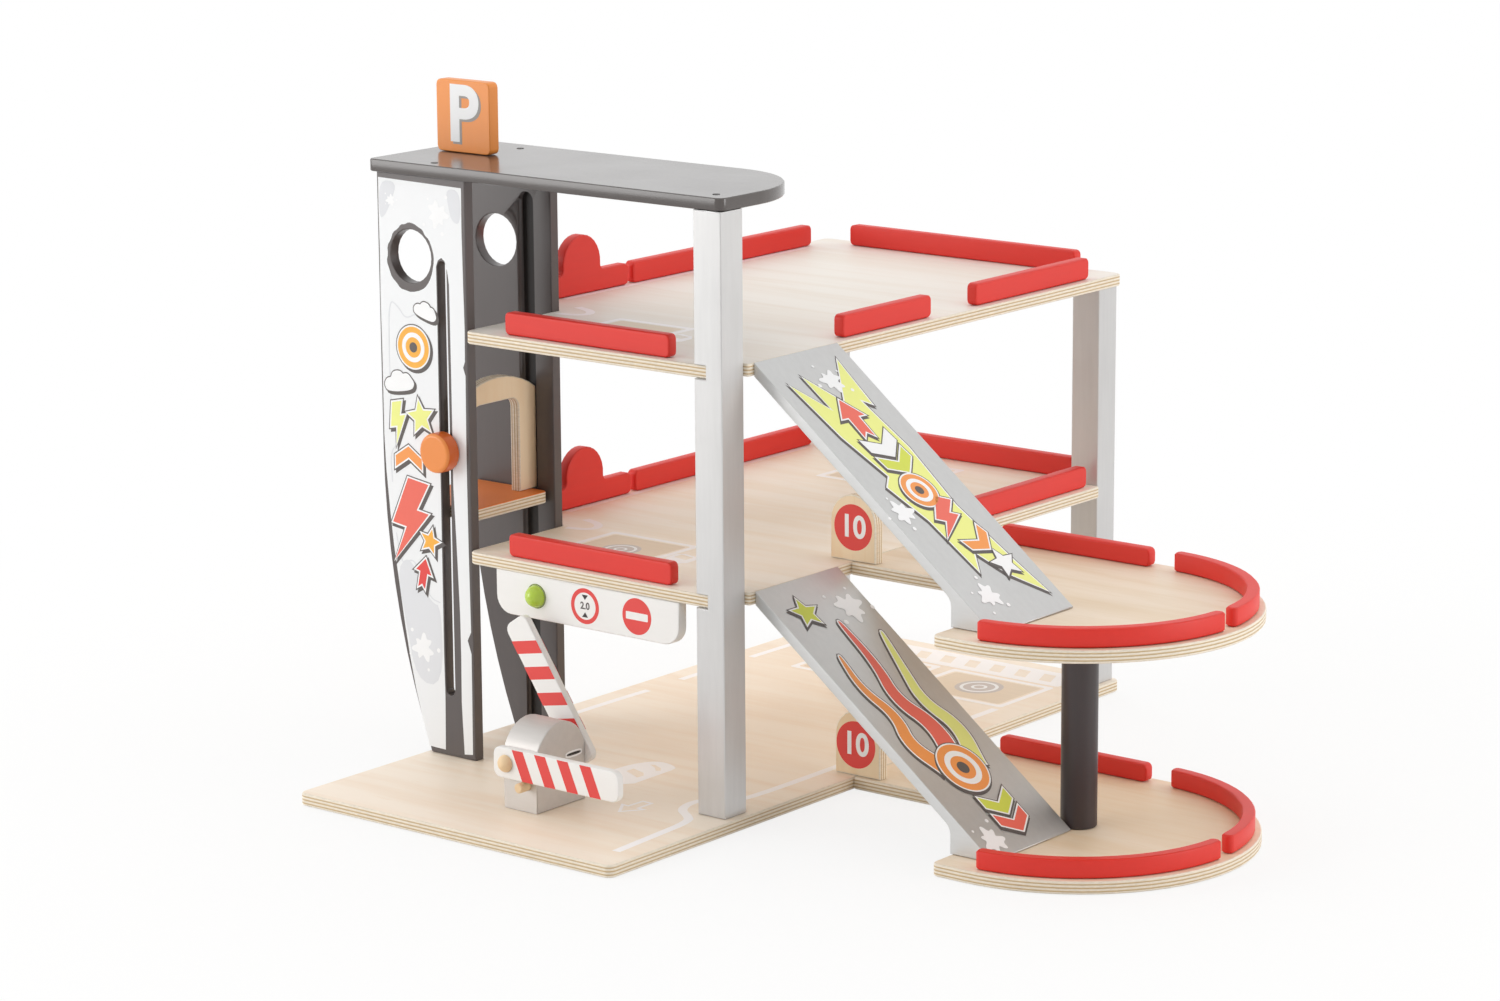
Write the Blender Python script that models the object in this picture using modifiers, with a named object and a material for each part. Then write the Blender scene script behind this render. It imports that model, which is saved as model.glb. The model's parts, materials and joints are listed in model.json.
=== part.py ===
# Toy parking garage: two decks on posts, a hand-moved lift in a tower, two ramps and a toll point.
# Metres, +Z up. The origin lies on the floor under the middle of the toy's outer box,
# +X runs along the entrance side towards the ramps and +Y runs away from the entrance.
# Inside the datum empty, plan positions run from the decks' left edge and the base board's front edge.
import math

import bmesh
import bpy
from mathutils import Vector

for leftover in list(bpy.data.objects):
    bpy.data.objects.remove(leftover, do_unlink=True)

# Stock and fits
PLY = 0.009             # all flat boards are 9 mm plywood
GAP = 0.0003            # glue or sliding gap between touching pieces
CHORD_ERROR = 0.00015   # how far a facet may leave a true arc
ARRIS = 0.0008          # sanded edge of the boards
POST = 0.024            # square posts
SHARP_EDGE = 32         # degrees; softer bends are shaded smooth
WIDEST_CHORD = 0.29     # of the radius, so that no facet spans more than a quarter turn
WELD = 0.00001

# Facets round the turned pieces
PIN_STEPS = 16
PIN_CHAMFER = 0.0006
PEG_STEPS = 20
PEG_DOME_STEPS = 5
SIGN_PEG_STEPS = 12
LIGHT_STEPS = 24
LIGHT_DOME_STEPS = 8
COLUMN_STEPS = 32
KNOB_STEPS = 36

# Main plan. The base board is a little wider than the decks above it.
DECK_WIDTH = 0.281
BASE_X = (-0.0035, 0.2832)
DECK_DEPTH = 0.605
DECK_FRONT = 0.1305
DECK_CORNER = 0.006
NOTCH_ROUND = 0.002             # rounding where a deck stops beside the tower or a post
TOWER_ROUND = 0.005
LANDING_CENTRE = (0.4725, 0.2642)
LANDING_RADIUS = 0.1285
LANDING_FLAT_X = 0.447
LANDING_CORNER = 0.005
NECK_FRONT = 0.267
NECK_FILLET = 0.003
OVERALL_LEFT = -0.044
OVERALL_RIGHT = LANDING_CENTRE[0] + LANDING_RADIUS
ORIGIN_PLAN = ((OVERALL_LEFT + OVERALL_RIGHT) / 2, DECK_DEPTH / 2)
ROOF_RIGHT = 0.278
ROOF_Y = (0.129, 0.2472)
ROOF_LEFT_ROUND = 0.004
ROOF_FRONT_ROUND = 0.006
ROOF_SWEEP = 0.076              # the roof's large round corner at the right rear

# Levels: underside of each board
GROUND_Z = 0.0
MIDDLE_Z = 0.156
TOP_Z = 0.315
ROOF_Z = 0.430
LANDING_RISE = MIDDLE_Z - GROUND_Z

# Lift tower
SHAFT_RIGHT = 0.044             # the decks are cut back to here beside the tower
SHAFT_REAR = 0.2333
PANEL_LEFT = -0.0404
PANEL_RIGHT = 0.0436
FRONT_PANEL_Y = 0.1335
REAR_PANEL_Y = 0.224
PANEL_SWEEP_TOP = 0.230         # below here the left edge sweeps in on one large arc
PANEL_FOOT_LEFT = 0.0005
WINDOW = (-0.009, 0.3715, 0.01925)   # x, z, radius
SLOT_X = 0.0204
SLOT_WIDTH = 0.008
SLOT_Z = (0.0545, 0.3705)
GROOVE_WIDTH = 0.0144
GROOVE_TOP = 0.4096
GROOVE_DEPTH = 0.005
TILE_X = (-0.0305, 0.0205)
TILE_FRONT = 0.187
TILE_HEIGHT = 0.0517
TILE_THICKNESS = 0.010
TILE_ROUND = 0.004

# Lift at rest
LIFT_Z = 0.183
LIFT_X = (-0.033, 0.038)
LIFT_Y = (0.144, 0.2225)
PLATFORM_ROUND = 0.003
ARCH_X = 0.0204
ARCH_FRONT = 0.0005             # how far the arch stands back from the platform's front edge
ARCH_TONGUE = 0.0028            # how far its rear leg reaches into the rear panel's groove
ARCH_FRONT_LEG = 0.014
ARCH_REAR_LEG = 0.0188
ARCH_FILLET = 0.008
ARCH_SHOULDER = 0.075           # height of the arch's outer corners above the platform
ARCH_CROWN = 0.088
ARCH_OPENING = 0.070
KNOB_LIFT = 0.042               # knob axis above the platform's top
KNOB_RADIUS = 0.0145
KNOB_LENGTH = 0.012
KNOB_EDGE = 0.003
KNOB_REAR_EDGE = 0.001
KNOB_BORE = 0.0083
KNOB_CLEARANCE = 0.0005         # between the knob and the front panel
ROD_RADIUS = 0.0036
ROD_SUNK = 0.010                # how deep the rod sits in the arch
RUNNER = (0.0134, 0.009, 0.0055)     # width, height, thickness
RUNNER_ARRIS = 0.0005

# Toll point
BLOCK_X = (0.136, 0.167)
BLOCK_Y = (0.060, 0.111)
BLOCK_TOP = 0.070
BLOCK_SHOULDER = 0.050
ARM_THICKNESS = 0.006
ARM_TIP = 0.1014
ARM_HEEL = 0.0118
ARM_HEIGHT = 0.022
ARM_ROUND = 0.006
PIVOT_INSET = 0.0081            # pivot from the block's side face
PIVOT_Z = 0.0434
REST_PEG_Z = 0.0285
REST_PEG_INSET = 0.009
REST_PEG_RADIUS = 0.0035
REST_PEG_REACH = 0.010          # how far it stands out of the block
PEG_SHAFT = 0.003
PEG_HEAD_RADIUS = 0.0062
PEG_DOME = 0.0048
PEG_SUNK = 0.015                # how deep the pegs sit in the block
SLIT_CENTRE = (0.0988, 0.0444)  # y, z of the ticket slit in the block's right face
SLIT_LENGTH = 0.0144
SLIT_WIDTH = 0.0016
SLIT_DEPTH = 0.005
REAR_ARM_RAISED = 56            # degrees above its lowered position, at rest

# Rails: 9 mm boards on edge, set in from the deck edges
RAIL_HEIGHT = 0.016
LANDING_RAIL_HEIGHT = 0.013
RAIL_INSET = 0.005
RAIL_RIGHT_INSET = 0.0055
RAIL_REAR_INSET = 0.010
RAIL_END = 0.0035
RAIL_ARRIS = 0.0012
HUMP_RADIUS = 0.0213
HUMP_TOP = 0.044
HUMP_FILLET = 0.004
HUMP_CENTRE = 0.293             # along the left edge
LANDING_RAIL_RADIUS = 0.124
# Where each deck rail starts and ends, along the edge it stands on
FRONT_RAIL = (0.077, 0.226)
HUMPED_RAIL = (0.236, 0.346)
LEFT_RAIL = (0.351, 0.568)
REAR_RAIL = (0.037, 0.250)
RIGHT_RAIL = (0.4238, 0.568)
RIGHT_FRONT_RAIL = (0.2659, 0.3695)
LANDING_FRONT_RAIL = (-87, -2)       # bearings in degrees
LANDING_REAR_RAIL = (3, 88.4)
LANDING_BACK_RAIL = (0.330, 0.4565)

# Ramps
RAMP_Y = (0.1585, 0.2515)
RAMP_TOE_X = 0.4815
RAMP_HEEL_X = 0.446
RAMP_DROP = 0.0095              # thickness measured straight down
RAMP_HEEL_ROUND = 0.010
RAMP_TOE_ROUND = 0.0006
RAMP_ARRIS = 0.0005

# Signs
ENTRANCE_SIGN_X = (0.0688, 0.236)
ENTRANCE_SIGN_FRONT = 0.131
ENTRANCE_SIGN_BOTTOM = 0.1245
ENTRANCE_SIGN_ROUND = 0.013
LIGHT_CENTRE = (0.1065, 0.1413)      # x, z
LIGHT_RADIUS = 0.008
SIGN_WIDTH = 0.0395
SIGN_HEIGHT = 0.0475
SIGN_PEG_RADIUS = 0.003
SIGN_PEG_SUNK = 0.006
SIGN_PEG_OFFSET = 0.011         # each peg from the seam sign's middle
GROUND_SIGN = (0.2846, 0.274)        # x, y of the block standing across each seam
MIDDLE_SIGN = (0.2803, 0.2745)
COLUMN = (0.4763, 0.2662, 0.0126)     # x, y, radius

garage = bpy.data.collections.new("toy_parking_garage")
cutters = bpy.data.collections.new("cutters")
bpy.context.scene.collection.children.link(garage)
bpy.context.scene.collection.children.link(cutters)


def material(name, colour, roughness, metallic=0.0):
    mat = bpy.data.materials.new(name)
    mat.use_nodes = True
    shader = mat.node_tree.nodes["Principled BSDF"]
    shader.inputs["Base Color"].default_value = (*colour, 1.0)
    shader.inputs["Roughness"].default_value = roughness
    shader.inputs["Metallic"].default_value = metallic
    return mat


BIRCH = material("birch_plywood", (0.78, 0.68, 0.52), 0.55)
GRAPHITE = material("graphite_lacquer", (0.07, 0.06, 0.058), 0.3)
SILVER = material("silver_paint", (0.56, 0.56, 0.57), 0.4)
RED = material("red_lacquer", (0.72, 0.04, 0.02), 0.4)
ORANGE = material("orange_lacquer", (0.80, 0.22, 0.04), 0.4)
GREEN = material("green_lacquer", (0.24, 0.48, 0.03), 0.3)
WHITE = material("white_lacquer", (0.82, 0.81, 0.79), 0.4)
BEECH = material("bare_beech", (0.75, 0.50, 0.27), 0.55)


# An empty carries everything, so that plan positions can be read from one corner of the plan.
def empty(name, location, parent=None):
    frame = bpy.data.objects.new(name, None)
    frame.empty_display_size = 0.02
    frame.location = location
    frame.parent = parent
    garage.objects.link(frame)
    return frame


datum = empty("garage_datum", (-ORIGIN_PLAN[0], -ORIGIN_PLAN[1], 0.0))


# A local XY outline turned to stand in another plane: its depth then runs along the third axis.
FLAT = (0.0, 0.0, 0.0)
FACING_Y = (math.pi / 2, 0.0, 0.0)
FACING_X = (math.pi / 2, 0.0, math.pi / 2)


# Points of an arc, both ends included, as fine as the chord error asks.
def arc(centre, radius, start, end):
    step = 2 * math.acos(1 - min(CHORD_ERROR / radius, WIDEST_CHORD))
    count = max(1, math.ceil(abs(end - start) / step))
    angles = [start + (end - start) * i / count for i in range(count + 1)]
    return [(centre[0] + radius * math.cos(a), centre[1] + radius * math.sin(a)) for a in angles]


# A closed outline from corners (x, y, radius), each corner rounded by its own radius.
def rounded(corners):
    points = []
    for i, (x, y, radius) in enumerate(corners):
        corner = Vector((x, y))
        if radius == 0:
            points.append((x, y))
            continue
        back = (Vector(corners[i - 1][:2]) - corner).normalized()
        ahead = (Vector(corners[(i + 1) % len(corners)][:2]) - corner).normalized()
        half = back.angle(ahead) / 2
        centre = corner + (back + ahead).normalized() * radius / math.sin(half)
        begin = corner + back * radius / math.tan(half) - centre
        turn = math.pi - 2 * half
        if back.cross(ahead) > 0:
            turn = -turn
        angle = math.atan2(begin.y, begin.x)
        points += arc(centre, radius, angle, angle + turn)
    return points


def box_outline(x0, y0, x1, y1, radius):
    return rounded([(x0, y0, radius), (x1, y0, radius), (x1, y1, radius), (x0, y1, radius)])


def circle_outline(x, y, radius):
    return arc((x, y), radius, 0, 2 * math.pi)[:-1]


# Two parallel sides joined by half circles, standing along local Y.
def slot_outline(x, width, low, high):
    radius = width / 2
    return arc((x, high - radius), radius, 0, math.pi) + arc((x, low + radius), radius, math.pi, 2 * math.pi)


# Puts a finished mesh object into the garage or among the cutters.
def place(obj, mat, location, rotation, parent, cutter=False):
    obj.location = location
    obj.rotation_euler = rotation
    obj.parent = parent or datum
    if cutter:
        obj.hide_render = True
        obj.display_type = "WIRE"
        cutters.objects.link(obj)
    else:
        obj.data.materials.append(mat)
        obj.data.shade_smooth()
        obj.data.set_sharp_from_angle(angle=math.radians(SHARP_EDGE))
        garage.objects.link(obj)
    return obj


# The mesh that a curve or modifier object makes, welded into one closed skin that faces outwards.
def finished_mesh(source, name):
    bpy.context.scene.collection.objects.link(source)
    graph = bpy.context.evaluated_depsgraph_get()
    mesh = bpy.data.meshes.new_from_object(source.evaluated_get(graph))
    bpy.data.objects.remove(source, do_unlink=True)
    bm = bmesh.new()
    bm.from_mesh(mesh)
    bmesh.ops.remove_doubles(bm, verts=bm.verts, dist=WELD)
    bmesh.ops.recalc_face_normals(bm, faces=bm.faces)
    bm.to_mesh(mesh)
    bm.free()
    mesh.name = name
    return mesh


# A flat piece: closed outlines, the first outside and the others holes, given a thickness.
# The arris is taken out of the outline, so that the piece keeps its size.
def board(name, outlines, thickness, mat=None, location=(0, 0, 0), rotation=FLAT, parent=None,
          arris=ARRIS, cutter=False):
    curve = bpy.data.curves.new(name, "CURVE")
    curve.dimensions = "2D"
    curve.fill_mode = "BOTH"
    curve.extrude = thickness / 2 - arris
    curve.bevel_depth = arris
    curve.bevel_resolution = 0
    curve.offset = -arris
    for outline in outlines:
        spline = curve.splines.new("POLY")
        spline.points.add(len(outline) - 1)
        for point, (x, y) in zip(spline.points, outline):
            point.co = (x, y, 0.0, 1.0)
        spline.use_cyclic_u = True
    mesh = finished_mesh(bpy.data.objects.new(name + "_outline", curve), name)
    return place(bpy.data.objects.new(name, mesh), mat, location, rotation, parent, cutter)


# A turned piece: (radius, height) profile from the top of its axis, down the outside, back to the axis.
def turned(name, profile, mat=None, location=(0, 0, 0), rotation=FLAT, parent=None, steps=PIN_STEPS,
           cutter=False):
    line = bpy.data.meshes.new(name + "_profile")
    verts = [(radius, 0.0, height) for radius, height in profile]
    line.from_pydata(verts, [(i, i + 1) for i in range(len(verts) - 1)], [])
    source = bpy.data.objects.new(name + "_profile", line)
    screw = source.modifiers.new("turn", "SCREW")
    screw.angle = 2 * math.pi
    screw.steps = steps
    screw.render_steps = steps
    screw.use_merge_vertices = True
    screw.merge_threshold = WELD
    mesh = finished_mesh(source, name)
    return place(bpy.data.objects.new(name, mesh), mat, location, rotation, parent, cutter)


# The profile of a rounded head, from its crown down to its rim.
def dome_profile(radius, rise, base, steps):
    angles = [math.pi / 2 * i / steps for i in range(steps + 1)]
    return [(radius * math.sin(a), base + rise * math.cos(a)) for a in angles]


# A turned pin with a small chamfer at both ends, standing on its location.
def pin(name, radius, length, mat=None, location=(0, 0, 0), rotation=FLAT, parent=None, steps=PIN_STEPS,
        chamfer=PIN_CHAMFER, cutter=False):
    profile = [(0, length), (radius - chamfer, length), (radius, length - chamfer),
               (radius, chamfer), (radius - chamfer, 0), (0, 0)]
    return turned(name, profile, mat, location, rotation, parent, steps, cutter)


def cut(obj, cutter):
    boolean = obj.modifiers.new("cut_" + cutter.name, "BOOLEAN")
    boolean.operation = "DIFFERENCE"
    boolean.solver = "EXACT"
    boolean.object = cutter


TOWARDS_FRONT = FACING_Y        # a turned piece's axis laid along -Y


# Boards of the two storeys. Each deck above the ground is cut back round the tower and let into the posts.
POST_BITE = 0.0095              # how deep a deck runs into a post
FRONT_POST = (0.2535, 0.1285)   # lower plan corner of each post
REAR_RIGHT_POST = (0.2545, 0.577)
REAR_LEFT_POST = (0.0025, 0.577)


def deck_outline(let_into_rear_posts):
    post_rear = FRONT_POST[1] + POST + GAP
    bite_x = FRONT_POST[0] + POST_BITE
    corners = [(SHAFT_RIGHT, DECK_FRONT, TOWER_ROUND), (bite_x, DECK_FRONT, 0),
               (bite_x, post_rear, 0), (DECK_WIDTH, post_rear, NOTCH_ROUND)]
    if let_into_rear_posts:
        post_front = REAR_RIGHT_POST[1] - GAP
        right_bite = REAR_RIGHT_POST[0] + POST_BITE
        left_bite = REAR_LEFT_POST[0] + POST - POST_BITE
        corners += [(DECK_WIDTH, post_front, NOTCH_ROUND), (right_bite, post_front, 0),
                    (right_bite, DECK_DEPTH, 0), (left_bite, DECK_DEPTH, 0), (left_bite, post_front, 0),
                    (0, post_front, NOTCH_ROUND)]
    else:
        corners += [(DECK_WIDTH, DECK_DEPTH, DECK_CORNER), (0, DECK_DEPTH, DECK_CORNER)]
    corners += [(0, SHAFT_REAR, TOWER_ROUND), (SHAFT_RIGHT, SHAFT_REAR, NOTCH_ROUND)]
    return rounded(corners)


def landing_outline(deck_edge):
    cx, cy = LANDING_CENTRE
    left = deck_edge + GAP
    rear = cy + LANDING_RADIUS
    front = cy - LANDING_RADIUS
    neck = rounded([(left, rear, 0), (left, NECK_FRONT, 0), (LANDING_FLAT_X, NECK_FRONT, NECK_FILLET),
                    (LANDING_FLAT_X, front, LANDING_CORNER), (cx, front, 0)])
    turn = arc((cx, cy), LANDING_RADIUS, -math.pi / 2, 0) + arc((cx, cy), LANDING_RADIUS, 0, math.pi / 2)[1:]
    return neck[:-1] + turn


def build_boards():
    half = PLY / 2
    base_left, base_right = BASE_X
    ground = box_outline(base_left, 0, base_right, DECK_DEPTH, DECK_CORNER)
    board("base_board", [ground], PLY, BIRCH, (0, 0, GROUND_Z + half))
    board("middle_floor", [deck_outline(True)], PLY, BIRCH, (0, 0, MIDDLE_Z + half))
    board("top_floor", [deck_outline(False)], PLY, BIRCH, (0, 0, TOP_Z + half))
    board("base_landing", [landing_outline(base_right)], PLY, BIRCH, (0, 0, GROUND_Z + half))
    board("middle_landing", [landing_outline(DECK_WIDTH)], PLY, BIRCH, (0, 0, MIDDLE_Z + half))
    roof_front, roof_rear = ROOF_Y
    roof = rounded([(OVERALL_LEFT, roof_front, ROOF_LEFT_ROUND), (ROOF_RIGHT, roof_front, ROOF_FRONT_ROUND),
                    (ROOF_RIGHT, roof_rear, ROOF_SWEEP), (OVERALL_LEFT, roof_rear, ROOF_LEFT_ROUND)])
    board("roof_board", [roof], PLY, GRAPHITE, (0, 0, ROOF_Z + half))


# A square post as an outline facing the entrance, with its slots for the decks on the chosen side.
def post(name, corner, top, decks, slot_side):
    foot = PLY + GAP
    if slot_side > 0:
        face = POST
        bottom = POST - POST_BITE - GAP
    else:
        face = 0.0
        bottom = POST_BITE + GAP
    points = [(POST - face, top), (POST - face, foot), (face, foot)]
    for z in decks:
        points += [(face, z - GAP), (bottom, z - GAP), (bottom, z + PLY + GAP), (face, z + PLY + GAP)]
    points.append((face, top))
    location = (corner[0], corner[1] + POST / 2, 0)
    board(name, [points], POST, SILVER, location, FACING_Y)


def build_posts():
    post("front_post", FRONT_POST, ROOF_Z - GAP, [MIDDLE_Z, TOP_Z], -1)
    post("rear_right_post", REAR_RIGHT_POST, TOP_Z - GAP, [MIDDLE_Z], -1)
    post("rear_left_post", REAR_LEFT_POST, TOP_Z - GAP, [MIDDLE_Z], 1)
    x, y, radius = COLUMN
    height = LANDING_RISE - PLY - 2 * GAP
    pin("landing_column", radius, height, GRAPHITE, (x, y, PLY + GAP), steps=COLUMN_STEPS)


# Tower panel: straight right edge, round window and a left edge that sweeps in to the foot.
def panel_outline():
    foot = PLY + GAP
    top = ROOF_Z - GAP
    reach = PANEL_FOOT_LEFT - PANEL_LEFT
    fall = PANEL_SWEEP_TOP - foot
    radius = (reach ** 2 + fall ** 2) / (2 * reach)
    centre = (PANEL_LEFT + radius, PANEL_SWEEP_TOP)
    sweep = arc(centre, radius, math.pi, math.pi + math.asin(fall / radius))
    return [(PANEL_RIGHT, foot), (PANEL_RIGHT, top), (PANEL_LEFT, top)] + sweep


def build_tower():
    window = circle_outline(*WINDOW)
    slot = slot_outline(SLOT_X, SLOT_WIDTH, *SLOT_Z)
    board("tower_front_panel", [panel_outline(), window, slot], PLY, GRAPHITE,
          (0, FRONT_PANEL_Y + PLY / 2, 0), FACING_Y)
    rear = board("tower_rear_panel", [panel_outline(), window], PLY, GRAPHITE,
                 (0, REAR_PANEL_Y + PLY / 2, 0), FACING_Y)
    groove = slot_outline(SLOT_X, GROOVE_WIDTH, -GROOVE_WIDTH, GROOVE_TOP)
    cutter = board("groove_cutter", [groove], 2 * GROOVE_DEPTH, None, (0, REAR_PANEL_Y, 0), FACING_Y,
                   arris=0, cutter=True)
    cut(rear, cutter)
    tile = box_outline(TILE_X[0], 0, TILE_X[1], TILE_HEIGHT, TILE_ROUND)
    tile_y = TILE_FRONT + TILE_THICKNESS / 2
    board("picture_tile", [tile], TILE_THICKNESS, ORANGE, (0, tile_y, ROOF_Z + PLY + GAP), FACING_Y)


# Lift: platform, arch, knob and guides, all carried by an empty on the sliding axis.
def build_lift():
    middle_x = (LIFT_X[0] + LIFT_X[1]) / 2
    middle_y = (LIFT_Y[0] + LIFT_Y[1]) / 2
    carriage = empty("lift_carriage", (middle_x, middle_y, LIFT_Z), datum)
    half_x = (LIFT_X[1] - LIFT_X[0]) / 2
    half_y = (LIFT_Y[1] - LIFT_Y[0]) / 2
    plate = box_outline(-half_x, -half_y, half_x, half_y, PLATFORM_ROUND)
    board("lift_platform", [plate], PLY, BIRCH, (0, 0, PLY / 2), parent=carriage)

    seat = PLY + GAP
    arch_x = ARCH_X - middle_x
    arch = board("lift_arch", [arch_outline(middle_y)], PLY, BIRCH, (arch_x, 0, seat), FACING_X, carriage)

    axis_z = seat + KNOB_LIFT
    knob_back = FRONT_PANEL_Y - KNOB_CLEARANCE - middle_y
    rod_back = ARCH_FRONT - half_y + ROD_SUNK
    rod_length = rod_back - knob_back + KNOB_BORE - GAP
    bore = pin("rod_bore", ROD_RADIUS + GAP, 2 * ROD_SUNK, None, (arch_x, rod_back + GAP, axis_z),
               TOWARDS_FRONT, carriage, chamfer=0, cutter=True)
    cut(arch, bore)
    pin("lift_rod", ROD_RADIUS, rod_length, BEECH, (arch_x, rod_back, axis_z), TOWARDS_FRONT, carriage)
    build_knob(carriage, (arch_x, knob_back, axis_z))

    width, height, thickness = RUNNER
    runner = box_outline(-width / 2, 0, width / 2, height, RUNNER_ARRIS)
    runner_y = half_y + GAP + thickness / 2
    board("lift_runner", [runner], thickness, GRAPHITE, (arch_x, runner_y, 0), FACING_Y, carriage,
          arris=RUNNER_ARRIS)


# The arch seen from the side, front to rear: its rear leg is wider and runs in the rear panel's groove.
def arch_outline(middle_y):
    front = LIFT_Y[0] + ARCH_FRONT - middle_y
    rear = REAR_PANEL_Y + ARCH_TONGUE - middle_y
    half = (rear - front) / 2
    middle = (rear + front) / 2
    rise = ARCH_CROWN - ARCH_SHOULDER
    radius = (half ** 2 + rise ** 2) / (2 * rise)
    spread = math.asin(half / radius)
    crown = arc((middle, ARCH_CROWN - radius), radius, math.pi / 2 - spread, math.pi / 2 + spread)
    inner_front = front + ARCH_FRONT_LEG
    inner_rear = rear - ARCH_REAR_LEG
    opening = rounded([(inner_front, 0, 0), (inner_front, ARCH_OPENING, ARCH_FILLET),
                       (inner_rear, ARCH_OPENING, ARCH_FILLET), (inner_rear, 0, 0)])
    return [(rear, 0)] + crown + [(front, 0)] + opening


# The knob is turned with a full edge round its face and a blind bore for the rod at its back.
def build_knob(carriage, back_centre):
    edge = KNOB_EDGE
    rear_edge = KNOB_REAR_EDGE
    bore = ROD_RADIUS + GAP
    profile = [(0, KNOB_LENGTH), (KNOB_RADIUS - edge, KNOB_LENGTH)]
    profile += arc((KNOB_RADIUS - edge, KNOB_LENGTH - edge), edge, math.pi / 2, 0)[1:]
    profile += [(KNOB_RADIUS, rear_edge), (KNOB_RADIUS - rear_edge, 0)]
    profile += [(bore, 0), (bore, KNOB_BORE), (0, KNOB_BORE)]
    turned("lift_knob", profile, ORANGE, back_centre, TOWARDS_FRONT, carriage, steps=KNOB_STEPS)


# Toll block with an arm on each long side. The far side repeats the near one turned half round.
def build_toll_point():
    length = BLOCK_X[1] - BLOCK_X[0]
    half = (BLOCK_Y[1] - BLOCK_Y[0]) / 2
    middle = ((BLOCK_X[0] + BLOCK_X[1]) / 2, (BLOCK_Y[0] + BLOCK_Y[1]) / 2)
    rise = BLOCK_TOP - BLOCK_SHOULDER
    radius = (half ** 2 + rise ** 2) / (2 * rise)
    spread = math.asin(half / radius)
    top = arc((0, BLOCK_TOP - radius), radius, math.pi / 2 - spread, math.pi / 2 + spread)
    foot = PLY + GAP
    block = board("toll_block", [[(-half, foot), (half, foot)] + top], length, SILVER, (*middle, 0), FACING_X)
    slit = board("ticket_slit_cutter", [slot_outline(0, SLIT_WIDTH, -SLIT_LENGTH / 2, SLIT_LENGTH / 2)],
                 2 * SLIT_DEPTH, None, (BLOCK_X[1], *SLIT_CENTRE), (0, math.pi / 2, 0), arris=0, cutter=True)
    cut(block, slit)

    near = empty("near_side", (*middle, 0), datum)
    far = empty("far_side", (*middle, 0), datum)
    far.rotation_euler = (0, 0, math.pi)
    build_arm("front", near, -half, block, 0)
    build_arm("rear", far, -half, block, REAR_ARM_RAISED)


# One barrier side: the arm turns on a domed peg let into the block and comes down on a second peg.
def build_arm(side, frame, face_y, block, raised):
    pivot_x = -(BLOCK_X[1] - BLOCK_X[0]) / 2 + PIVOT_INSET
    rest_x = (BLOCK_X[1] - BLOCK_X[0]) / 2 - REST_PEG_INSET
    shaft = PEG_SHAFT
    pivot = empty("barrier_pivot_axis_" + side, (pivot_x, face_y - GAP - ARM_THICKNESS / 2, PIVOT_Z), frame)
    pivot.rotation_euler = (0, -math.radians(raised), 0)
    low = -ARM_HEIGHT / 2
    outline = box_outline(-ARM_HEEL, low, ARM_TIP, -low, ARM_ROUND)
    board("barrier_arm_" + side, [outline, circle_outline(0, 0, shaft + GAP)], ARM_THICKNESS, WHITE,
          rotation=FACING_Y, parent=pivot)

    inner = face_y + PEG_SUNK
    head_back = face_y - ARM_THICKNESS - 2 * GAP
    reach = inner - head_back
    profile = dome_profile(PEG_HEAD_RADIUS, PEG_DOME, reach, PEG_DOME_STEPS)
    profile += [(shaft, reach), (shaft, 0), (0, 0)]
    turned("barrier_peg_" + side, profile, BEECH, (pivot_x, inner, PIVOT_Z), TOWARDS_FRONT, frame,
           steps=PEG_STEPS)
    pin("arm_rest_" + side, REST_PEG_RADIUS, PEG_SUNK + REST_PEG_REACH, BEECH, (rest_x, inner, REST_PEG_Z),
        TOWARDS_FRONT, frame)

    bores = (("pivot", pivot_x, PIVOT_Z, shaft), ("rest", rest_x, REST_PEG_Z, REST_PEG_RADIUS))
    for use, x, z, radius in bores:
        bore = pin("bore_%s_%s" % (use, side), radius + GAP, 2 * PEG_SUNK, None, (x, inner + GAP, z),
                   TOWARDS_FRONT, frame, chamfer=0, cutter=True)
        cut(block, bore)


# Entrance sign under the middle floor, and the sign blocks that lock the landings to the decks.
def build_signs():
    height = MIDDLE_Z - GAP - ENTRANCE_SIGN_BOTTOM
    left, right = ENTRANCE_SIGN_X
    outline = rounded([(left, 0, ENTRANCE_SIGN_ROUND), (right, 0, ENTRANCE_SIGN_ROUND), (right, height, 0),
                       (left, height, 0)])
    board("entrance_sign", [outline], PLY, WHITE, (0, ENTRANCE_SIGN_FRONT + PLY / 2, ENTRANCE_SIGN_BOTTOM),
          FACING_Y)
    light = dome_profile(LIGHT_RADIUS, LIGHT_RADIUS, 0, LIGHT_DOME_STEPS) + [(0, 0)]
    light_x, light_z = LIGHT_CENTRE
    turned("entrance_light", light, GREEN, (light_x, ENTRANCE_SIGN_FRONT - GAP, light_z), TOWARDS_FRONT,
           steps=LIGHT_STEPS)
    sign_block("ground", GROUND_Z, GROUND_SIGN, ("base_board", "base_landing"))
    sign_block("middle", MIDDLE_Z, MIDDLE_SIGN, ("middle_floor", "middle_landing"))


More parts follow.
